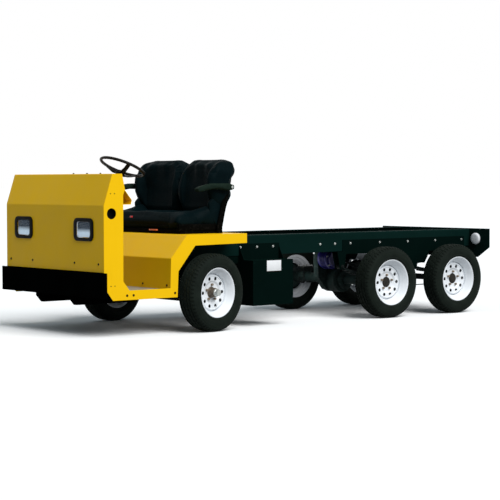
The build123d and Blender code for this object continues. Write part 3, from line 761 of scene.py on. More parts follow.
class CARRIER_OT_stage(CarrierOperator):
    """Set the floor, the light and the camera"""

    bl_idname = "carrier.stage"
    bl_label = "Stage"

    def execute(self, context):
        scene = context.scene
        scene.view_settings.view_transform = "Standard"
        bare()
        bpy.ops.mesh.primitive_plane_add(size=400.0)
        floor = context.object
        floor.name = "stage_floor"
        mat = bpy.data.materials.new("stage_floor")
        mat.use_nodes = True
        self.two_faced(
            mat.node_tree, "ShaderNodeBsdfDiffuse", seen=(1.12, 1.12, 1.12), felt=(0.24, 0.25, 0.26)
        )
        floor.data.materials.append(mat)
        floor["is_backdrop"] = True
        world = bpy.data.worlds.new("studio")
        world.use_nodes = True
        self.two_faced(
            world.node_tree, "ShaderNodeBackground", seen=(1, 1, 1), felt=(0.21, 0.245, 0.265)
        )
        scene.world = world
        bare()
        bpy.ops.object.light_add(type="SUN")
        key = context.object
        key.name = "key_light"
        key.data.energy = 3.25
        key.data.angle = math.radians(46.0)
        to_sun = Vector((0.015, 0.72, 0.69))
        key.matrix_world = to_sun.to_track_quat("Z", "Y").to_matrix().to_4x4()
        bare()
        bpy.ops.object.light_add(type="POINT")
        glow = context.object
        glow.name = "underside_light"
        glow.data.energy = 2.6
        glow.data.shadow_soft_size = 0.12
        glow.location = at(-1500, -200, 400)
        glow.visible_camera = False
        glow.visible_glossy = False
        bare()
        bpy.ops.object.camera_add()
        camera = context.object
        camera.name = "photo_camera"
        camera.data.lens = 117.26
        camera.data.sensor_width = 36.0
        camera.data.clip_end = 500.0
        yaw, pitch, roll = (math.radians(a) for a in (-129.21, -2.43, -0.13))
        eye = (8.234, 9.9479, 1.0918)
        level = math.cos(pitch)
        ahead = Vector((level * math.cos(yaw), level * math.sin(yaw), math.sin(pitch)))
        right = ahead.cross(UP).normalized()
        top = right.cross(ahead)
        across = math.cos(roll) * right + math.sin(roll) * top
        upward = math.cos(roll) * top - math.sin(roll) * right
        turn = Matrix((across, upward, -ahead)).transposed().to_4x4()
        camera.matrix_world = Matrix.Translation(eye) @ turn
        scene.camera = camera
        return {"FINISHED"}

    def two_faced(self, tree, kind, seen, felt):
        """A surface or sky with one colour as it is seen and another as it lights things."""
        nodes, links = tree.nodes, tree.links
        nodes.clear()
        path = nodes.new("ShaderNodeLightPath")
        total = None
        for ray in ("Is Camera Ray", "Is Glossy Ray", "Is Transmission Ray"):
            if total is None:
                total = path.outputs[ray]
                continue
            add = nodes.new("ShaderNodeMath")
            add.operation = "ADD"
            add.use_clamp = True
            links.new(total, add.inputs[0])
            links.new(path.outputs[ray], add.inputs[1])
            total = add.outputs["Value"]
        mix = nodes.new("ShaderNodeMixShader")
        links.new(total, mix.inputs["Fac"])
        for slot, colour in ((1, felt), (2, seen)):
            face = nodes.new(kind)
            face.inputs["Color"].default_value = (*colour, 1.0)
            links.new(face.outputs[0], mix.inputs[slot])
        world = kind == "ShaderNodeBackground"
        out = nodes.new("ShaderNodeOutputWorld" if world else "ShaderNodeOutputMaterial")
        links.new(mix.outputs["Shader"], out.inputs["Surface"])


class CARRIER_OT_body(CarrierOperator):
    """Finish the yellow body sheets, the bumper and their fixings"""

    bl_idname = "carrier.body"
    bl_label = "Body sheets"

    def execute(self, context):
        fold = sizes().fold_radius
        for word, _ in SIDES:
            dress(f"side_panel_{word}", "body_enamel", 0.0014)
        nose = [at(938, 0, 924), at(865.5, 0, 1143.5)]
        outer = along(1, *[(p.x, p.z) for p in nose], slack=0.002)
        low, high = nose
        inner = along(1, (low.x - 0.004, low.z - 0.0006), (high.x - 0.0028, high.z - 0.004), slack=0.003)
        dress("cowl", "body_enamel", 0.0008, bends=[(outer, fold, 4), (inner, 0.0018, 2)])
        dash = [at(698, 0, 961), at(759, 0, 1034), at(706, 0, 929)]
        dress("dash", "body_enamel", 0.0008, bends=[(along(1, *[(p.x, p.z) for p in dash]), 0.0035, 3)])
        wall = along(1, *[(p.x, p.z) for p in (at(222, 0, 706), at(365, 0, 542))])
        dress("seat_pedestal", "body_enamel", 0.0008, bends=[(wall, fold, 4)])
        dress("floor", "floor_enamel")
        # The bumper and its seal take the near-black copy of the chassis enamel, painted shade.
        dress("bumper", "bumper_enamel", 0.0015)
        seal = block("bumper_seal", at(912, -605, 440), at(933, 605, 478), 0.002)
        keep(seal, "bumper_enamel")
        self.cups()
        self.fixings()
        return {"FINISHED"}

    def cups(self):
        """Deep black cups behind the round holes of the side panels."""
        profile = [
            (0, -0.034), (0.034, -0.034), (0.0375, -0.030), (0.0385, -0.002), (0.0470, -0.0012),
            (0.0475, 0.0), (0.0375, 0.0), (0.0365, -0.028), (0.033, -0.0325), (0, -0.0325),
        ]
        cup = lathe("panel_cup", profile, 48, closed=False)
        made = placed(cup, "panel_cup_left", Matrix.Translation(at(873, 640, 867)))
        shade(made)
        both_sides(made, "panel_cup_{}", "moulded_black")

    def fixings(self):
        """Rivets and bolts of the side panels, sill, face, wall and cap."""
        rivets = [(at(x, 645, z), (0, 1, 0)) for x in (881, 848) for z in (1006, 366)]
        scatter(rivet(0.0042), "panel_rivets", mirror_places(rivets), "body_fixing")
        sill = [(at(x, 645, 296), (0, 1, 0)) for x in (746, 691, 331)]
        scatter(hex_bolt(0.0062, 0.004), "sill_bolts", mirror_places(sill), "body_fixing")
        face = [(at(938, y, 518), (1, 0, 0)) for y in (-584, -281, 276, 578)]
        wall = [(at(371.0, y, 350), (1, 0, 0)) for y in (-601, -307, 307, 601)]
        scatter(hex_bolt(0.0058, 0.004), "face_bolts", face + wall, "body_fixing")
        cap = [(at(822, y, 1143.5), (0, 0, 1)) for y in (92, 266, 435)]
        scatter(hex_bolt(0.006, 0.0055), "cap_bolts", cap, "body_fixing")


class CARRIER_OT_frame(CarrierOperator):
    """Finish the rails, the deck, the boxes, the tail plate and their fixings"""

    bl_idname = "carrier.frame"
    bl_label = "Frame and deck"

    def execute(self, context):
        edge = sizes().rail_radius
        for word, side in SIDES:
            y = 0.417 * side
            web = y - 0.006 * side
            corners = along(0, (y, 0.683), (y, 0.530), slack=0.0006)
            inner = along(0, (web, 0.677), (web, 0.536), slack=0.0006)
            bends = [(corners, edge, 4), (inner, 0.003, 2)]
            dress(f"chassis_rail_{word}", "chassis_enamel", bends=bends)
            # Boxes and hanger plates take the darker copy of the chassis enamel, painted shade.
            dress(f"battery_box_{word}", "box_enamel", 0.0016, 3)
            dress(f"hanger_plate_{word}", "box_enamel", 0.0014)
        # The front frame takes the near-black copy of the chassis enamel, painted shade.
        dress("front_frame", "bumper_enamel", 0.0015)
        dress("deck_frame", "chassis_enamel")
        dress("deck_plate", "deck_enamel")
        dress("tail_plate", "chassis_enamel", 0.0014)
        self.fixings()
        self.boxes()
        return {"FINISHED"}

    def fixings(self):
        """Bolts through the rails, the hangers and the tail plate."""
        out = (0, 1, 0)
        places = [(at(x, 423, 593), out) for x in (-446, -607, -766)]
        places += [(at(x, 423, 595), out) for x in (-1571, -1890, -2208, -2527, -2845)]
        places += [(at(x, 417, 595), out) for x in (-1254, -1410)]
        places += [(at(x, 417, z), out) for x in (205, 238) for z in (560, 590)]
        scatter(hex_bolt(0.0064, 0.006), "rail_bolts", mirror_places(places), "zinc")
        tail = [(at(-2956, y, z), (-1, 0, 0)) for y in (-380, -130, 130, 380) for z in (560, 660)]
        scatter(hex_bolt(0.0078, 0.0065), "tail_bolts", tail, "chassis_enamel")

    def boxes(self):
        """Shelf, brace, blank plate and screws of the battery boxes."""
        # Shelf and brace take the darker copy of the chassis enamel, painted shade.
        shelf = block("box_shelf_left", at(-826, 332, 499), at(-438, 411, 530), 0.002)
        both_sides(shelf, "box_shelf_{}", "box_enamel")
        brace = block("box_brace_left", at(-440, 385, 470), at(-262, 411, 531), 0.002)
        both_sides(brace, "box_brace_{}", "box_enamel")
        plate = block("box_plate_left", at(-709, 585, 416), at(-570, 586.2, 495), 0.0005)
        both_sides(plate, "box_plate_{}", "plate_white")
        foot = block("box_plate_foot_left", at(-709, 585, 411), at(-570, 586, 416), 0.0004)
        both_sides(foot, "box_plate_foot_{}", "body_fixing")
        screws = [(at(x, 585, z), (0, 1, 0)) for x in (-815, -450) for z in (180, 330, 480)]
        scatter(rivet(0.004), "box_screws", mirror_places(screws), "chassis_enamel")


class CARRIER_OT_running_gear(CarrierOperator):
    """Model the springs, axles, links and the drive"""

    bl_idname = "carrier.running_gear"
    bl_label = "Running gear"

    def execute(self, context):
        for word, _ in SIDES:
            dress(f"knuckle_{word}", "axle_iron", 0.0018)
        dress("front_axle", "axle_iron", 0.002)
        dress("tie_rod", "axle_iron", 0.0012)
        dress("drive_axle", "gear_iron", 0.003)
        dress("trailing_axle", "axle_iron", 0.0018)
        self.front_springs()
        self.tandem()
        self.motor()
        return {"FINISHED"}

    def leaves(self, name, x0, y, pad, eye, longest, wide):
        """Four curved leaves, longest on top, as separate strips; sizes in drawing millimetres."""
        pitch, step, halves = 8.0, 36.0, 12
        mid = pad + 4 * pitch
        rise = eye - mid - pitch
        made = []
        for k in range(4):
            reach = longest - step * k
            line = []
            for i in range(-halves, halves + 1):
                x = reach * i / halves
                line.append(at(x0 + x, y - wide / 2, mid - pitch * k + rise * (x / longest) ** 2))
            leaf = strip(name, line, (0, 0, -0.0074), (0, wide / 1000.0, 0))
            soften(leaf, 0.0012, 2)
            made.append(leaf)
        return made

    def eye(self, x, y, z, radius, wide):
        """The rolled end of a top leaf."""
        edge = 0.002
        profile = [
            (0.008, 0), (0.008, wide), (radius - edge, wide), (radius, wide - edge), (radius, edge),
            (radius - edge, 0),
        ]
        place = Matrix.Translation(at(x, y, z) - Vector((0, wide / 2, 0)))
        made = placed(lathe("eye", profile, 32), "eye", place)
        shade(made)
        return made

    def clamps(self, name, x0, y, pad, low, wide):
        """Two U-bolts round the axle with their plate and nuts."""
        made = []
        nuts = []
        a, b = y - wide / 2 - 8.0, y + wide / 2 + 8.0
        for dx in (-42.0, 42.0):
            x = x0 + dx
            nuts += [(at(x, side, pad + 46.0), (0, 0, 1)) for side in (a, b)]
            down = [(a, pad + 58), (a, pad + 20), (a, low), (a, low - 6), (a + 2, low - 8)]
            up = [(b - 2, low - 8), (b, low - 6), (b, low), (b, pad + 20), (b, pad + 58)]
            made.append(pipe(name, [at(x, *place) for place in down + up], 0.0055))
        made.append(block(name, at(x0 - 58, a - 10, pad + 34), at(x0 + 58, b + 10, pad + 44), 0.0015))
        bolts = join(name, made)
        shade(bolts)
        both_sides(bolts, name + "_{}", "spring_black")
        scatter(hex_bolt(0.0095, 0.009), name + "_nuts", mirror_places(nuts), "zinc")

    def front_springs(self):
        """The front leaf packs with their eyes, U-bolts and eye bolts."""
        y, pad, eye, reach, wide = 365.0, 312.0, 402.0, 310.0, 45.0
        made = self.leaves("front_spring", 0.0, y, pad, eye, reach - 20.0, wide)
        for end in (-reach, reach):
            made.append(self.eye(end, y, eye, 0.022, wide / 1000.0))
        pack = join("front_spring", made)
        both_sides(pack, "front_spring_{}_leaves", "spring_black", nodes=["front_spring_{}"])
        self.clamps("front_u_bolts", 0.0, y, pad, 252.0, wide)
        pins = [(at(end, y + s * 36, eye), (0, s, 0)) for end in (-reach, reach) for s in (-1, 1)]
        scatter(hex_bolt(0.011, 0.009), "front_eye_bolts", mirror_places(pins), "axle_iron")

    def tandem(self):
        """The rear leaf packs, the rocking link between them, its hangers and the brake rods."""
        y, pad, eye, reach, wide = 395.0, 328.0, 412.0, 330.0, 44.0
        middle = (MID_AXLE_X + REAR_AXLE_X) / 2
        made = []
        for x0 in (MID_AXLE_X, REAR_AXLE_X):
            made += self.leaves("tandem", x0, y, pad, eye, reach - 10.0, wide)
            for end in (-reach, reach):
                made.append(self.eye(x0 + end, y, eye, 0.02, wide / 1000.0))
        high = eye + 44.0
        link = slab("tandem", [
            at(MID_AXLE_X - reach, y - 12, eye - 16), at(MID_AXLE_X - reach + 14, y - 12, eye + 8),
            at(middle + 24, y - 12, high + 20), at(middle - 24, y - 12, high + 20),
            at(REAR_AXLE_X + reach - 14, y - 12, eye + 8), at(REAR_AXLE_X + reach, y - 12, eye - 16),
            at(middle, y - 12, high - 26),
        ], (0, 0.024, 0))
        soften(link, 0.003, 3)
        made.append(link)
        pack = join("tandem_spring_leaves", made)
        both_sides(pack, "tandem_spring_{}_leaves", "spring_black", nodes=["tandem_spring_{}"])
        self.clamps("mid_u_bolts", MID_AXLE_X, y, pad, 246.0, wide)
        self.clamps("rear_u_bolts", REAR_AXLE_X, y, pad, 258.0, wide)
        outline = [
            (-2179, 512), (-2458, 512), (-2440, 462), (-2405, 412), (-2364, 414), (-2324, 409),
            (-2312, 368), (-2289, 368), (-2266, 408), (-2214, 466),
        ]
        cheek = slab("spring_hanger_left", [at(x, 417.5, z) for x, z in outline], (0, 0.005, 0))
        soften(cheek, 0.0012)
        # The spring hangers take the darker copy of the chassis enamel, painted shade.
        both_sides(cheek, "spring_hanger_{}", "box_enamel")
        bends = [
            (-1808, 262), (-1808, 244), (-1815, 239), (-1860, 239), (-2515, 239), (-2560, 239),
            (-2567, 244), (-2567, 272),
        ]
        brake = pipe("brake_rod_left", [at(x, 470, z) for x, z in bends], 0.004)
        both_sides(brake, "brake_rod_{}", "spring_black")
        pins = []
        for x, z in ((-1478.0, eye), (middle, high), (-2897.0, eye)):
            pins += [(at(x, y + s * 36, z), (0, s, 0)) for s in (-1, 1)]
        scatter(hex_bolt(0.011, 0.009), "tandem_eye_bolts", mirror_places(pins), "axle_iron")

    def motor(self):
        """The round drive motor with its ribbed middle, end bells and terminals."""
        centre = at(-1698, -30, 458)
        profile = [
            (0, 0.0), (0.06, 0.0), (0.078, 0.003), (0.086, 0.010), (0.088, 0.016), (0.088, 0.036),
            (0.0845, 0.038),
        ]
        for k in range(5):
            w = 0.042 + 0.0095 * k
            profile += [(0.0845, w), (0.0878, w + 0.001), (0.0878, w + 0.0045), (0.0845, w + 0.0055)]
        profile += [
            (0.0845, 0.090), (0.088, 0.093), (0.088, 0.105), (0.086, 0.112), (0.078, 0.117),
            (0.071, 0.1175), (0.069, 0.132), (0.063, 0.1375), (0.03, 0.1378), (0, 0.1378),
        ]
        body = lathe("drive_motor_case", profile, 64, closed=False)
        made = placed(body, "drive_motor_case", Matrix.Translation(centre))
        shade(made)
        keep(made, "motor_enamel", nodes=["drive_motor"])
        studs = []
        for k in range(6):
            a = math.radians(60 * k + 15)
            studs.append((centre + Vector((0.076 * math.cos(a), 0.1172, 0.076 * math.sin(a))), (0, 1, 0)))
        scatter(hex_bolt(0.006, 0.005), "motor_bolts", studs, "zinc")


class CARRIER_OT_tyres(CarrierOperator):
    """Turn one tyre, cut its tread and set it on all six wheels"""

    bl_idname = "carrier.tyres"
    bl_label = "Tyres"

    def execute(self, context):
        depth = sizes().groove_depth
        crown = 0.2834
        half = [
            (0.1780, 0.0590), (0.1815, 0.0682), (0.186, 0.0730), (0.193, 0.0772), (0.1965, 0.0792),
            (0.1995, 0.0792), (0.2015, 0.0780), (0.212, 0.0812), (0.225, 0.0823), (0.238, 0.0804),
            (0.2435, 0.0788), (0.2455, 0.0792), (0.2485, 0.0785), (0.2505, 0.0768), (0.258, 0.0752),
            (0.2655, 0.0722), (0.2715, 0.0680), (0.2760, 0.0628), (0.2792, 0.0565),
        ]
        for y in (0.0440, 0.0165):
            r = crown - (0.0016 if y > 0.03 else 0.0)
            half += [(r, y + 0.004), (r - depth, y + 0.0026), (r - depth, y - 0.0026), (r, y - 0.004)]
        profile = half + [(r, -y) for r, y in half[::-1]]
        tyre = lathe("tyre_pattern", profile, sizes().tread_steps)
        self.cut(tyre)
        shade(tyre, 40.0)
        for row, word, side in WHEELS:
            made = again(tyre, f"tyre_{row}_{word}_tread", wheel_place(row, side))
            keep(made, "rubber", f"wheel_{row}_{word}", [f"tyre_{row}_{word}"])
        drop(tyre)
        return {"FINISHED"}

    def cut(self, tyre):
        """Sinks short cuts across the shoulders and the ribs."""
        steps = sizes().tread_steps
        turn = 2 * math.pi / steps

        def column(points):
            """Which division of the tyre a face is in, and its middle."""
            middle = sum(points, Vector()) / len(points)
            return int(math.atan2(middle.z, middle.x) / turn + steps), middle

        def shoulder(points):
            k, middle = column(points)
            r = math.hypot(middle.x, middle.z)
            return k % 2 == 0 and 0.2660 < r < 0.2785 and abs(middle.y) > 0.054

        def ribs(points):
            k, middle = column(points)
            r = math.hypot(middle.x, middle.z)
            y = abs(middle.y)
            outer = abs(y - 0.0522) < 0.006 and k % 2 == 0
            inner = abs(y - 0.0302) < 0.004 and k % 3 == 0
            centre = y < 0.01 and k % 3 == 1
            return r > 0.2785 and (outer or inner or centre)

        for test, inset, sink in ((shoulder, 0.0022, 1.0), (ribs, 0.0032, 0.9)):
            pick(tyre, "FACE", test)
            bpy.ops.mesh.inset(thickness=inset, use_individual=True)
            bpy.ops.transform.shrink_fatten(value=-sizes().sipe_depth * sink)
            bpy.ops.object.mode_set(mode="OBJECT")


class CARRIER_OT_wheels(CarrierOperator):
    """Turn the rims, discs, hubs and nuts and set them on all six wheels"""

    bl_idname = "carrier.wheels"
    bl_label = "Wheels"

    def execute(self, context):
        rim = self.rim()
        disc = self.disc()
        studs, first_stud = 5, 0.35
        drums = {"front": self.drum(-0.003), "mid": self.drum(-0.0195)}
        front, cap = self.front_hub()
        rear = self.rear_hub()
        valve = self.valve()
        nuts = hex_nut(0.0092, 0.0165)
        for row, word, side in WHEELS:
            place = wheel_place(row, side)
            body = f"wheel_{row}_{word}"
            keep(again(rim, body + "_rim", place), "wheel_enamel", body, [body])
            keep(again(disc, body + "_disc", place), "wheel_enamel", body)
            keep(again(drums.get(row, drums["mid"]), body + "_drum", place), "drum_black", body)
            keep(again(valve, body + "_valve", place), "moulded_black", body)
            if row == "front":
                keep(again(front, body + "_hub", place), "hub_brown", body)
                keep(again(cap, body + "_cap", place), "zinc", body)
            else:
                keep(again(rear, body + "_hub", place), "hub_dark", body)
            ring = []
            for k in range(studs):
                a = 2 * math.pi * k / studs + first_stud
                spot = Vector((sizes().lug_ring * math.cos(a), -0.0005, sizes().lug_ring * math.sin(a)))
                ring.append((place @ spot, place.to_3x3() @ Vector((0, 1, 0))))
            scatter(again(nuts, "nut", Matrix.Identity(4)), body + "_nuts", ring, "hub_metal", body)
        drop(rim, disc, front, cap, rear, valve, nuts, *drums.values())
        return {"FINISHED"}

    def rim(self):
        """The barrel with its flanges, bead seats and dropped middle."""
        outer = [
            (0.1822, 0.0655), (0.1820, 0.0680), (0.1800, 0.0692), (0.1772, 0.0688), (0.1745, 0.0672),
            (0.1715, 0.0645), (0.1660, 0.0575), (0.1600, 0.0490), (0.1540, 0.0405), (0.1495, 0.0335),
            (0.1460, 0.0270), (0.1420, 0.0215), (0.1392, 0.0180), (0.1380, 0.0140),
        ]
        inner = [
            (0.1380, -0.0220), (0.1392, -0.0265), (0.1500, -0.0320), (0.1570, -0.0345),
            (0.1585, -0.0380), (0.1590, -0.0560), (0.1612, -0.0595), (0.1700, -0.0620),
            (0.1740, -0.0645), (0.1765, -0.0680), (0.1795, -0.0692), (0.1818, -0.0682),
            (0.1822, -0.0655),
        ]
        back = [
            (0.1800, -0.0655), (0.1775, -0.0630), (0.1740, -0.0605), (0.1655, -0.0580),
            (0.1625, -0.0370), (0.1425, -0.0250), (0.1418, 0.0150), (0.1505, 0.0290), (0.1640, 0.0480),
            (0.1715, 0.0590), (0.1775, 0.0640), (0.1800, 0.0655),
        ]
        ob = lathe("rim_pattern", outer + inner + back, 96)
        shade(ob, 50.0)
        return ob

    def disc(self):
        """The dished disc with its ridge ring, round holes and hub bore."""
        face = [
            (0.0405, -0.0025), (0.0420, -0.0005), (0.0450, 0.0000), (0.0700, 0.0000), (0.0755, 0.0015),
            (0.0815, 0.0075), (0.0860, 0.0110), (0.0910, 0.0122), (0.1150, 0.0135), (0.1180, 0.0162),
            (0.1215, 0.0172), (0.1245, 0.0160), (0.1280, 0.0125), (0.1320, 0.0070), (0.1350, -0.0010),
            (0.1368, -0.0070), (0.1378, -0.0110),
        ]
        rear = [
            (0.1350, -0.0110), (0.1330, -0.0070), (0.1300, 0.0000), (0.1265, 0.0055), (0.1225, 0.0110),
            (0.1195, 0.0118), (0.1160, 0.0095), (0.0920, 0.0082), (0.0880, 0.0072), (0.0830, 0.0030),
            (0.0765, -0.0030), (0.0720, -0.0042), (0.0405, -0.0042),
        ]
        ob = lathe("disc_pattern", face + rear, 96)
        cutters = []
        for k in range(sizes().hole_count):
            a = 2 * math.pi * k / sizes().hole_count
            bare()
            bpy.ops.mesh.primitive_cylinder_add(
                vertices=28, radius=sizes().hole_radius, depth=0.03, rotation=(math.pi / 2, 0, 0),
                location=(sizes().hole_ring * math.cos(a), 0.011, sizes().hole_ring * math.sin(a)),
            )
            bpy.ops.object.transform_apply(location=True, rotation=True)
            cutters.append(bpy.context.object)
        holes = join("hole_cutters", cutters)
        modify(ob, "BOOLEAN", object=holes, operation="DIFFERENCE", solver="EXACT")
        drop(holes)
        shade(ob, 30.0)
        return ob

    def drum(self, back):
        """The brake drum behind the disc, its open side at y = back."""
        profile = [
            (0.03, -0.0046), (0.080, -0.0046), (0.090, 0.0020), (0.1105, 0.0030), (0.1118, 0.0010),
            (0.1118, back + 0.001), (0.1100, back), (0.1040, back), (0.1040, -0.0010), (0.090, -0.0012),
            (0.080, -0.0075), (0.03, -0.0075),
        ]
        ob = lathe("drum_pattern", profile, 72)
        shade(ob)
        return ob

    def front_hub(self):
        """The long front hub and its dust cap."""
        profile = [
            (0.0405, -0.006), (0.0405, 0.0012), (0.0390, 0.0022), (0.0362, 0.0026), (0.0345, 0.0040),
            (0.0340, 0.0350), (0.0325, 0.0372), (0.0305, 0.0375), (0.0300, 0.0400), (0.0318, 0.0412),
            (0.0318, 0.0440), (0.0295, 0.0448),
        ]
        barrel = lathe("front_hub_pattern", profile + [(0.0, 0.0448), (0.0, -0.006)], 56, closed=False)
        shade(barrel)
        profile = [
            (0.0, 0.0440), (0.0282, 0.0445), (0.0282, 0.0530), (0.0250, 0.0536), (0.0225, 0.0560),
            (0.0222, 0.0750), (0.0215, 0.0780), (0.0190, 0.0788), (0.0, 0.0788),
        ]
        cap = lathe("front_cap_pattern", profile, 48, closed=False)
        shade(cap)
        return barrel, cap

    def rear_hub(self):
        """The flat end of a driven or trailing axle's hub."""
        profile = [
            (0.0405, -0.006), (0.0405, 0.0020), (0.0390, 0.0035), (0.0355, 0.0035), (0.0340, 0.0020),
            (0.0335, 0.0045), (0.0300, 0.0055), (0.0130, 0.0058), (0.0, 0.0058),
        ]
        ob = lathe("rear_hub_pattern", profile + [(0.0, -0.006)], 56, closed=False)
        shade(ob)
        return ob

    def valve(self):
        """The valve stem that leaves the rim's well."""
        points = [(0.149, 0.026, 0), (0.149, 0.034, 0), (0.1478, 0.045, 0), (0.1462, 0.058, 0)]
        stem = pipe("valve_pattern", points, 0.0038)
        shade(stem)
        return stem


class CARRIER_OT_lamps(CarrierOperator):
    """Model the headlamps and the tail lamps"""

    bl_idname = "carrier.lamps"
    bl_label = "Lamps"

    def execute(self, context):
        self.headlamps()
        self.tail_lamps()
        return {"FINISHED"}

    def rounded(self, x, y, z, wide, high, radius):
        """Points of an upright rounded rectangle at one x."""
        points = []
        for cy, cz, start in ((1, 1, 0), (-1, 1, 90), (-1, -1, 180), (1, -1, 270)):
            mid_y = y + cy * (wide / 2 - radius)
            mid_z = z + cz * (high / 2 - radius)
            for k in range(5):
                a = math.radians(start + 22.5 * k)
                points.append(at(x, mid_y + radius * math.cos(a), mid_z + radius * math.sin(a)))
        return points

    def headlamps(self):
        """Bezel ring, black housing, stepped bowl, bulb and lens of each headlamp."""
        y, z = 397.5, 754.5
        ring = slab("headlamp_left_ring", self.rounded(938, y, z, 244.6, 161.6, 40), (0.0088, 0, 0))
        hole = slab("bezel_hole", self.rounded(930, y, z, 171, 113, 24), (0.03, 0, 0))
        modify(ring, "BOOLEAN", object=hole, operation="DIFFERENCE", solver="EXACT")
        drop(hole)
        soften(ring, 0.003, 3)
        both_sides(ring, "headlamp_{}_ring", "moulded_black", nodes=["headlamp_bezel_{}"])
        shell = slab("headlamp_left_housing", self.rounded(886, y, z, 169, 111, 13), (0.0495, 0, 0))
        self.pick_front(shell, 930)
        for shrink, sink in ((0.0015, 0.0), (0.001, -0.047)):
            bpy.ops.mesh.inset(thickness=shrink)
            bpy.ops.transform.translate(value=(sink, 0, 0))
        bpy.ops.object.mode_set(mode="OBJECT")
        both_sides(shell, "headlamp_{}_housing", "moulded_black")
        bowl = slab("headlamp_left_bowl", self.rounded(936, y, z, 164, 106, 14), (0.0005, 0, 0))
        self.pick_front(bowl, 936.2)
        steps = [
            (0.97, 0.96, 0.0), (0.95, 0.93, -0.012), (0.84, 0.80, -0.014), (0.70, 0.64, -0.010),
            (0.6, 0.5, -0.004),
        ]
        for wide, high, sink in steps:
            bpy.ops.mesh.inset(thickness=0.0003)
            bpy.ops.transform.resize(value=(1, wide, high), center_override=at(936, y, z))
            bpy.ops.transform.translate(value=(sink, 0, 0))
        bpy.ops.object.mode_set(mode="OBJECT")
        shade(bowl, 60.0)
        both_sides(bowl, "headlamp_{}_bowl", "reflector", nodes=["headlamp_{}"])
        profile = [
            (0, 0.022), (0.006, 0.021), (0.0095, 0.017), (0.011, 0.011), (0.0105, 0.0), (0.0075, -0.004),
            (0, -0.004),
        ]
        lamp = lathe("headlamp_left_bulb", profile, 24, closed=False)
        facing = Matrix.Translation(at(902, y, z)) @ Matrix.Rotation(-math.pi / 2, 4, "Z")
        bulb = placed(lamp, "headlamp_left_bulb", facing)
        shade(bulb)
        both_sides(bulb, "headlamp_{}_bulb", "bulb")
        self.lens(y, z)

    def pick_front(self, ob, x):
        """Selects a slab's rounded face ahead of one x in drawing millimetres."""
        pick(ob, "FACE", lambda points: len(points) > 6 and points[0].x > at(x, 0, 0).x)

    def lens(self, y, z):
        """Fluted glass: upright ribs on the back of a slightly crowned plate."""
        flute, row = 0.011, 0.032
        lens = slab("headlamp_left_lens", self.rounded(939.5, y, z, 168, 110, 12), (0.0035, 0, 0))
        middle = at(0, y, z)
        edit(lens, "FACE")
        for k in range(-7, 8):
            bpy.ops.mesh.select_all(action="SELECT")
            bpy.ops.mesh.bisect(plane_co=(0, middle.y + flute * k, 0), plane_no=(0, 1, 0))
        for k in (-1, 0, 1):
            bpy.ops.mesh.select_all(action="SELECT")
            bpy.ops.mesh.bisect(plane_co=(0, 0, middle.z + row * k), plane_no=(0, 0, 1))
        tidy_mesh()
        for v in lens.data.vertices:
            across = (v.co.y - middle.y) / 0.084
            up = (v.co.z - middle.z) / 0.055
            if v.co.x > at(941, 0, 0).x:
                v.co.x += 0.0028 * max(0.0, 1 - across ** 2) * max(0.0, 1 - up ** 2)
            elif round(abs(v.co.y - middle.y) / flute) % 2 and abs(across) < 0.93 and abs(up) < 0.9:
                v.co.x += 0.0006
        shade(lens, 50.0)
        both_sides(lens, "headlamp_{}_lens", "lens_glass")

    def tail_lamps(self):
        """White shell, black ring and red lens, all turned about the lamp's axis."""
        turn = Matrix.Translation(at(-2948, 493, 601)) @ Matrix.Rotation(-math.pi / 2, 4, "Z")
        shell = [
            (0, 0.0218), (0.029, 0.0216), (0.0400, 0.0200), (0.0457, 0.0165), (0.0476, 0.0110),
            (0.0477, -0.0080), (0, -0.0080),
        ]
        ring = [
            (0.054, -0.0082), (0.054, -0.0125), (0.0515, -0.0155), (0.0470, -0.0155), (0.0465, -0.0120),
            (0.0465, -0.0082),
        ]
        lens = [
            (0, -0.0158), (0.018, -0.0154), (0.0205, -0.0142), (0.0225, -0.0152), (0.036, -0.0142),
            (0.0465, -0.0112), (0.0465, -0.0082), (0, -0.0082),
        ]
        for part, profile, look, nodes in (
            ("shell", shell, "tail_white", ["tail_lamp_{}"]),
            ("ring", ring, "moulded_black", []),
            ("lens", lens, "tail_red", []),
        ):
            pattern = lathe(part, profile, 56, closed=part == "ring")
            made = placed(pattern, f"tail_lamp_left_{part}", turn)
            shade(made)
            both_sides(made, "tail_lamp_{}_" + part, look, nodes=nodes)


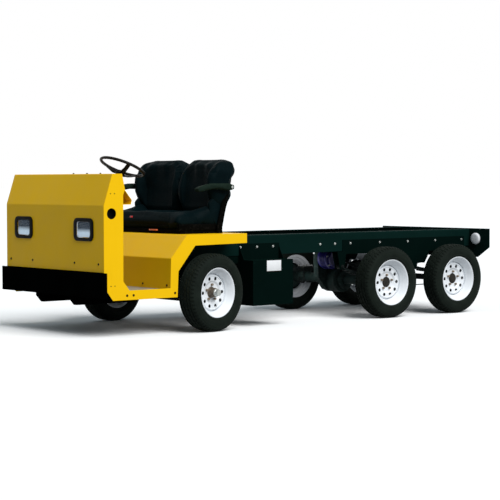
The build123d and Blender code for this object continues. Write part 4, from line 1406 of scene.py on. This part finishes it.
class CARRIER_OT_controls(CarrierOperator):
    """Model the steering wheel, the column, the pedals and the dash"""

    bl_idname = "carrier.controls"
    bl_label = "Controls"

    def execute(self, context):
        self.steering_wheel()
        dress("steering_column", "moulded_black", 0.0015)
        dress("pedals", "pedal_black", 0.0012)
        self.pedal_pads()
        self.dash_fittings()
        return {"FINISHED"}

    def steering_wheel(self):
        """The rim with finger grips inside, three dished spokes, the hub and the shaft's end."""
        ring, grip, grips = 0.1620, 0.0108, 36
        tilt = Matrix.Translation(at(517, 265, 1195)) @ Matrix.Rotation(math.radians(-24.0), 4, "Y")
        bare()
        bpy.ops.mesh.primitive_torus_add(
            major_segments=180, minor_segments=16, major_radius=ring, minor_radius=grip
        )
        rim = bpy.context.object
        for v in rim.data.vertices:
            a = math.atan2(v.co.y, v.co.x)
            r = math.hypot(v.co.x, v.co.y)
            inward = max(0.0, (ring - r) / grip)
            dip = 0.0030 * inward * (0.5 - 0.5 * math.cos(grips * a))
            v.co.x *= (r + dip) / r
            v.co.y *= (r + dip) / r
        pieces = [rim]
        edge = [
            (0.018, 0.022, -0.058), (0.060, 0.0190, -0.053), (0.110, 0.0155, -0.034),
            (0.155, 0.0150, -0.008),
        ]
        outline = [(x, -y, z) for x, y, z in edge] + edge[::-1]
        for k in range(3):
            spoke = slab("spoke", outline, (0, 0, 0.0085))
            soften(spoke, 0.003, 3)
            pieces.append(placed(spoke, "spoke", Matrix.Rotation(math.radians(72 + 120 * k), 4, "Z")))
        hub = [
            (0, 0.0), (0.017, -0.0005), (0.024, -0.0035), (0.0255, -0.007), (0.0295, -0.0085),
            (0.0310, -0.0125), (0.0300, -0.036), (0.0265, -0.040), (0, -0.040),
        ]
        shaft = [(0, 0.0), (0.0098, 0.0), (0.0098, -0.040), (0, -0.040)]
        upright = Matrix.Rotation(math.pi / 2, 4, "X")
        for name, profile, z, steps in (("hub", hub, -0.029, 40), ("shaft", shaft, -0.0645, 24)):
            pattern = lathe(name, profile, steps, closed=False)
            pieces.append(placed(pattern, name, Matrix.Translation((0, 0, z)) @ upright))
        wheel = join("steering_wheel_grip", pieces)
        shade(wheel, 45.0)
        wheel.data.transform(tilt)
        keep(wheel, "grip_plastic", "steering_wheel", ["steering_wheel"])

    def pedal_pads(self):
        """Seven ribs of rubber across each pedal."""
        for name, y0, y1 in (("brake_pad", 322, 388), ("go_pad", 192, 238)):
            ribs = []
            for k in range(7):
                a = at(797 + 9.6 * k, y0, 333 + 11.3 * k)
                low = a + Vector((-0.0028, 0, -0.001))
                high = a + Vector((0.0028, (y1 - y0) / 1000.0, 0.0032))
                ribs.append(block(name, low, high, 0.001))
            keep(join(name, ribs), "moulded_black")

    def dash_fittings(self):
        """A round gauge, a key switch and two rocker switches on the sloping dash."""
        slope = Vector((61, 0, 73)).normalized()
        facing = Vector((-slope.z, 0, slope.x))

        def on_dash(y, share):
            return at(698 + 61 * share, y, 961 + 73 * share) + facing * 0.0002

        turn = facing.to_track_quat("Y", "Z").to_matrix().to_4x4()
        gauge = [
            (0, 0.0022), (0.0245, 0.0022), (0.0250, 0.0050), (0.0275, 0.0058), (0.0300, 0.0045),
            (0.0305, 0.0), (0, 0.0),
        ]
        key = [(0, 0.0065), (0.0085, 0.0060), (0.0095, 0.0030), (0.0135, 0.0026), (0.0145, 0.0), (0, 0.0)]
        for name, profile, steps, y, share, look in (
            ("gauge", gauge, 40, 120, 0.5, "moulded_black"),
            ("key_switch", key, 28, 190, 0.55, "zinc"),
        ):
            pattern = lathe(name, profile, steps, closed=False)
            made = placed(pattern, "dash_" + name, Matrix.Translation(on_dash(y, share)) @ turn)
            shade(made)
            keep(made, look)
        for name, y in (("dash_switch_a", 55), ("dash_switch_b", 20)):
            rocker = block(name, (-0.0105, 0, -0.017), (0.0105, 0.005, 0.017), 0.0015)
            made = placed(rocker, name, Matrix.Translation(on_dash(y, 0.55)) @ turn)
            keep(made, "moulded_black")


class CARRIER_OT_seats(CarrierOperator):
    """Stuff the cushion, the two backs and the armrests"""

    bl_idname = "carrier.seats"
    bl_label = "Seats"

    def execute(self, context):
        made = dress("seat_frame", "seat_black", 0.0015)
        lean = 0.032  # m that the rear posts stand further forward at their feet
        for v in made.data.vertices:
            rear = 1 - smooth_step(0.81, 0.83, v.co.x)
            v.co.x += lean * rear * (1 - smooth_step(0.76, 0.96, v.co.z))
        self.cushion()
        self.backs()
        self.arms()
        self.slides()
        return {"FINISHED"}

    def skin(self, node, voxel):
        """The CAD solid's surface as an even net of small squares."""
        ob = bpy.data.objects.new(node + "_cover", frame["nodes"][node].data.copy())
        bpy.context.scene.collection.objects.link(ob)
        take(ob)
        bpy.ops.mesh.customdata_custom_splitnormals_clear()
        edit(ob)
        tidy_mesh()
        modify(ob, "REMESH", mode="VOXEL", voxel_size=voxel, use_smooth_shade=True)
        modify(ob, "SMOOTH", factor=0.5, iterations=6)
        return ob

    def stuff(self, ob, cap, pressure=4.0):
        """Blows the cover up like a stuffed one, and stops each point at the cap."""
        frames = 20
        rest = [v.co.copy() for v in ob.data.vertices]
        take(ob)
        cloth = ob.modifiers.new("Cloth", "CLOTH")
        cloth.settings.use_pressure = True
        cloth.settings.uniform_pressure_force = pressure
        cloth.settings.effector_weights.gravity = 0.0
        cloth.point_cache.frame_start = 1
        cloth.point_cache.frame_end = frames
        for step in range(1, frames + 1):
            bpy.context.scene.frame_set(step)
        bpy.ops.object.modifier_apply(modifier=cloth.name)
        bpy.context.scene.frame_set(1)
        for v, start in zip(ob.data.vertices, rest):
            move = v.co - start
            if move.length > cap:
                v.co = start + move * (cap / move.length)
        modify(ob, "SMOOTH", factor=0.5, iterations=4)

    def cushion(self):
        """One wide cushion: two hollows, outer bolsters, a rolled front, cross seams and a welt."""
        hollow, bolster, nose_in, nose_down, tuck_in, pinch = 0.024, 0.072, 0.014, 0.010, 0.022, 0.03
        seam_depth, welt_depth = 0.003, 0.0035
        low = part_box("seat_cushion")[0]
        ob = self.skin("seat_cushion", 0.006)
        modify(ob, "SMOOTH", factor=0.5, iterations=20)
        for v in ob.data.vertices:
            p = v.co
            top = smooth_step(0.77, 0.83, p.z)
            sides = abs(p.y)
            dip = smooth_step(0.02, 0.14, sides) * (1 - smooth_step(0.30, 0.43, sides))
            dip *= smooth_step(0.84, 0.94, p.x) * (1 - smooth_step(1.04, 1.18, p.x))
            rise = smooth_step(0.36, 0.46, sides) * (1 - smooth_step(0.80, 1.06, p.x))
            p.z += top * (-hollow * dip + bolster * rise)
            roll = smooth_step(1.10, 1.2, p.x)
            p.x -= nose_in * roll * abs(p.z - 0.81) / 0.05
            p.z -= nose_down * roll * top
            tuck = 1 - smooth_step(0.745, 0.80, p.z)
            p.x -= tuck_in * tuck * smooth_step(1.08, 1.2, p.x)
            p.y *= 1 - pinch * tuck * smooth_step(0.4, 0.48, sides)
        self.stuff(ob, sizes().seat_swell)
        for v in ob.data.vertices:
            p = v.co
            above = smooth_step(0.80, 0.82, p.z)
            welt = groove(p.z - 0.772, 0.0045) * smooth_step(0.3, 0.36, max(abs(p.y), (p.x - 0.86) * 1.2))
            front_line = 1.110 - 0.03 * smooth_step(0.34, 0.46, abs(p.y))
            front = groove(p.x - front_line, 0.006) * above
            middle = groove(p.y, 0.007) * above * (1 - smooth_step(1.08, 1.12, p.x))
            p.z -= seam_depth * max(front, middle)
            p.x -= welt_depth * welt * smooth_step(1.0, 1.16, p.x)
            p.y -= math.copysign(welt_depth * welt * smooth_step(0.40, 0.47, abs(p.y)), p.y)
            p.z = max(p.z, low.z + 0.0002)
            p.x = max(p.x, low.x)
        shade(ob, 60.0)
        keep(ob, "vinyl", nodes=["seat_cushion"])

    def backs(self):
        """Each back: a hollow pad between bolsters, the outer one the higher, with seam and piping."""
        flat_inner, hollow_depth, wing_out, wing_in = 0.66, 0.012, 0.026, 0.014
        taller, wider, seam_depth, piping = 0.016, 0.010, 0.0022, 0.003
        ob = self.skin("seat_back_left", 0.006)
        modify(ob, "SMOOTH", factor=0.5, iterations=24)
        low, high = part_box("seat_back_left")
        wide = high.y - low.y
        middle = (low.y + high.y) / 2
        for v in ob.data.vertices:
            p = v.co
            pad = 0.809 - 0.050 * smooth_step(0.98, 1.26, p.z)
            off = abs(p.y - middle)
            if p.x > pad:
                inner = 1 - smooth_step(0.30, 0.42, (p.y - low.y) / wide)
                p.x = pad + (p.x - pad) * (1.0 - flat_inner * inner)
            front = smooth_step(pad - 0.07, pad - 0.01, p.x)
            hollow = (1 - smooth_step(0.10, 0.20, off)) * smooth_step(0.84, 0.94, p.z)
            hollow *= 1 - smooth_step(1.10, 1.22, p.z)
            p.x -= hollow_depth * front * hollow
            outer = front * smooth_step(0.60, 0.75, (p.y - low.y) / wide)
            p.x += wing_out * outer * smooth_step(1.02, 1.14, p.z) * (1 - smooth_step(1.20, 1.26, p.z))
            p.x -= wing_in * outer * smooth_step(0.21, 0.24, off)
            upper = smooth_step(1.08, 1.22, p.z)
            p.z += taller * upper
            p.y += math.copysign(wider * upper * smooth_step(0.10, 0.20, off), p.y - middle)
        self.stuff(ob, sizes().seat_swell * 0.8)
        centre = Vector((low.x + 0.08, middle, 1.0))
        for v in ob.data.vertices:
            p = v.co
            front = smooth_step(low.x + 0.09, low.x + 0.13, p.x)
            reach = math.hypot(max(0.0, abs(p.y - middle) - 0.06), max(0.0, p.z - 1.08)) - 0.1
            seam = groove(reach, 0.005) * smooth_step(0.88, 0.94, p.z)
            back = groove(p.x - (low.x + 0.055 + (1.25 - p.z) * 0.16), 0.0045)
            p.x -= seam_depth * seam * front
            pull = (p - centre).normalized() * (piping * back)
            p.y -= pull.y
            p.z = max(p.z - pull.z, low.z + 0.0002)
        shade(ob, 60.0)
        for piece in both_sides(ob, "seat_back_{}_cover", "vinyl", nodes=["seat_back_{}"]):
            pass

    def arms(self):
        """Armrest pads, slimmer and slightly bowed towards the front, with a seam and a pivot bolt."""
        ob = self.skin("armrest_left", 0.004)
        for v in ob.data.vertices:
            ahead = max(0.0, v.co.x - 0.76)
            v.co.x -= 0.16 * ahead
            share = ahead / 0.35
            v.co.z = 1.046 + (v.co.z - 1.046) * (1 - 0.2 * min(1.0, share * 4))
            v.co.z += 0.008 * math.sin(math.pi * min(1.0, share)) - 0.008 * share
        self.stuff(ob, 0.003)
        seam_depth = 0.0018
        for v in ob.data.vertices:
            p = v.co
            seam = groove(abs(p.y - 0.528) - 0.019, 0.003)
            p.z += -seam_depth * seam if p.z > 1.045 else seam_depth * seam
        shade(ob, 60.0)
        pads = both_sides(ob, "armrest_{}_pad", "arm_cover", "armrest_{}", ["armrest_{}"])
        for piece, (word, side) in zip(pads, SIDES):
            bolt = [(at(-262, side * 553, 1046), (0, side, 0))]
            scatter(hex_bolt(0.010, 0.008), f"armrest_{word}_bolt", bolt, "zinc", f"armrest_{word}")

    def slides(self):
        """Seat slides, skirt and wing, and the latch and buckle button at the cushion's edge."""
        rail = block("seat_slide_left", at(-140, 462, 731), at(40, 476, 741), 0.0012)
        both_sides(rail, "seat_slide_{}", "zinc")
        skirt = block("seat_skirt_left", at(-212, 450, 728), at(168, 476.5, 778), 0.006, 3)
        both_sides(skirt, "seat_skirt_{}", "seat_black")
        outline = [
            (-236, 746), (-196, 746), (-140, 800), (-112, 856), (-106, 930), (-150, 975), (-262, 975),
            (-270, 900),
        ]
        wing = slab("seat_wing_left", [at(x, 449, z) for x, z in outline], (0, 0.031, 0))
        soften(wing, 0.013, 4)
        both_sides(wing, "seat_wing_{}", "vinyl")
        button = block("seat_buckle", at(188, -98, 818), at(202, -74, 832), 0.003, 3)
        keep(button, "red_plastic")
        latch = block("seat_latch", at(178, 138, 728), at(196, 230, 738), 0.0025, 3)
        keep(latch, "amber_plastic")


def smooth_step(low, high, value):
    """Rises smoothly from zero to one between two values."""
    t = min(1.0, max(0.0, (value - low) / (high - low)))
    return t * t * (3 - 2 * t)


def groove(off, width):
    """The profile of a sewn groove: one at its line, fading to either side."""
    return math.exp(-((off / width) ** 2))


OPERATORS = (
    CARRIER_OT_stage, CARRIER_OT_body, CARRIER_OT_frame, CARRIER_OT_running_gear, CARRIER_OT_tyres,
    CARRIER_OT_wheels, CARRIER_OT_lamps, CARRIER_OT_controls, CARRIER_OT_seats,
)


class CARRIER_PT_panel(bpy.types.Panel):
    """Lists the carrier's pieces in the sidebar"""

    bl_label = "Burden carrier"
    bl_idname = "CARRIER_PT_panel"
    bl_space_type = "VIEW_3D"
    bl_region_type = "UI"
    bl_category = "Carrier"

    def draw(self, context):
        for group in (context.scene.carrier_sizes, context.scene.carrier_colours):
            for key in group.__annotations__:
                self.layout.prop(group, key)
        for operator in OPERATORS:
            self.layout.operator(operator.bl_idname)


CLASSES = (CarrierSizes, CarrierColours, *OPERATORS, CARRIER_PT_panel)


def register():
    for cls in CLASSES:
        bpy.utils.register_class(cls)
    bpy.types.Scene.carrier_sizes = bpy.props.PointerProperty(type=CarrierSizes)
    bpy.types.Scene.carrier_colours = bpy.props.PointerProperty(type=CarrierColours)


def unregister():
    del bpy.types.Scene.carrier_colours
    del bpy.types.Scene.carrier_sizes
    for cls in reversed(CLASSES):
        bpy.utils.unregister_class(cls)


def corners():
    """The whole object's box as plain numbers."""
    return [[round(float(c), 5) for c in corner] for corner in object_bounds()]


def main():
    """Makes every piece in order."""
    register()
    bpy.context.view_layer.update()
    for operator in OPERATORS:
        group, name = operator.bl_idname.split(".")
        getattr(getattr(bpy.ops, group), name)()
    bare()


if __name__ == "__main__":
    main()
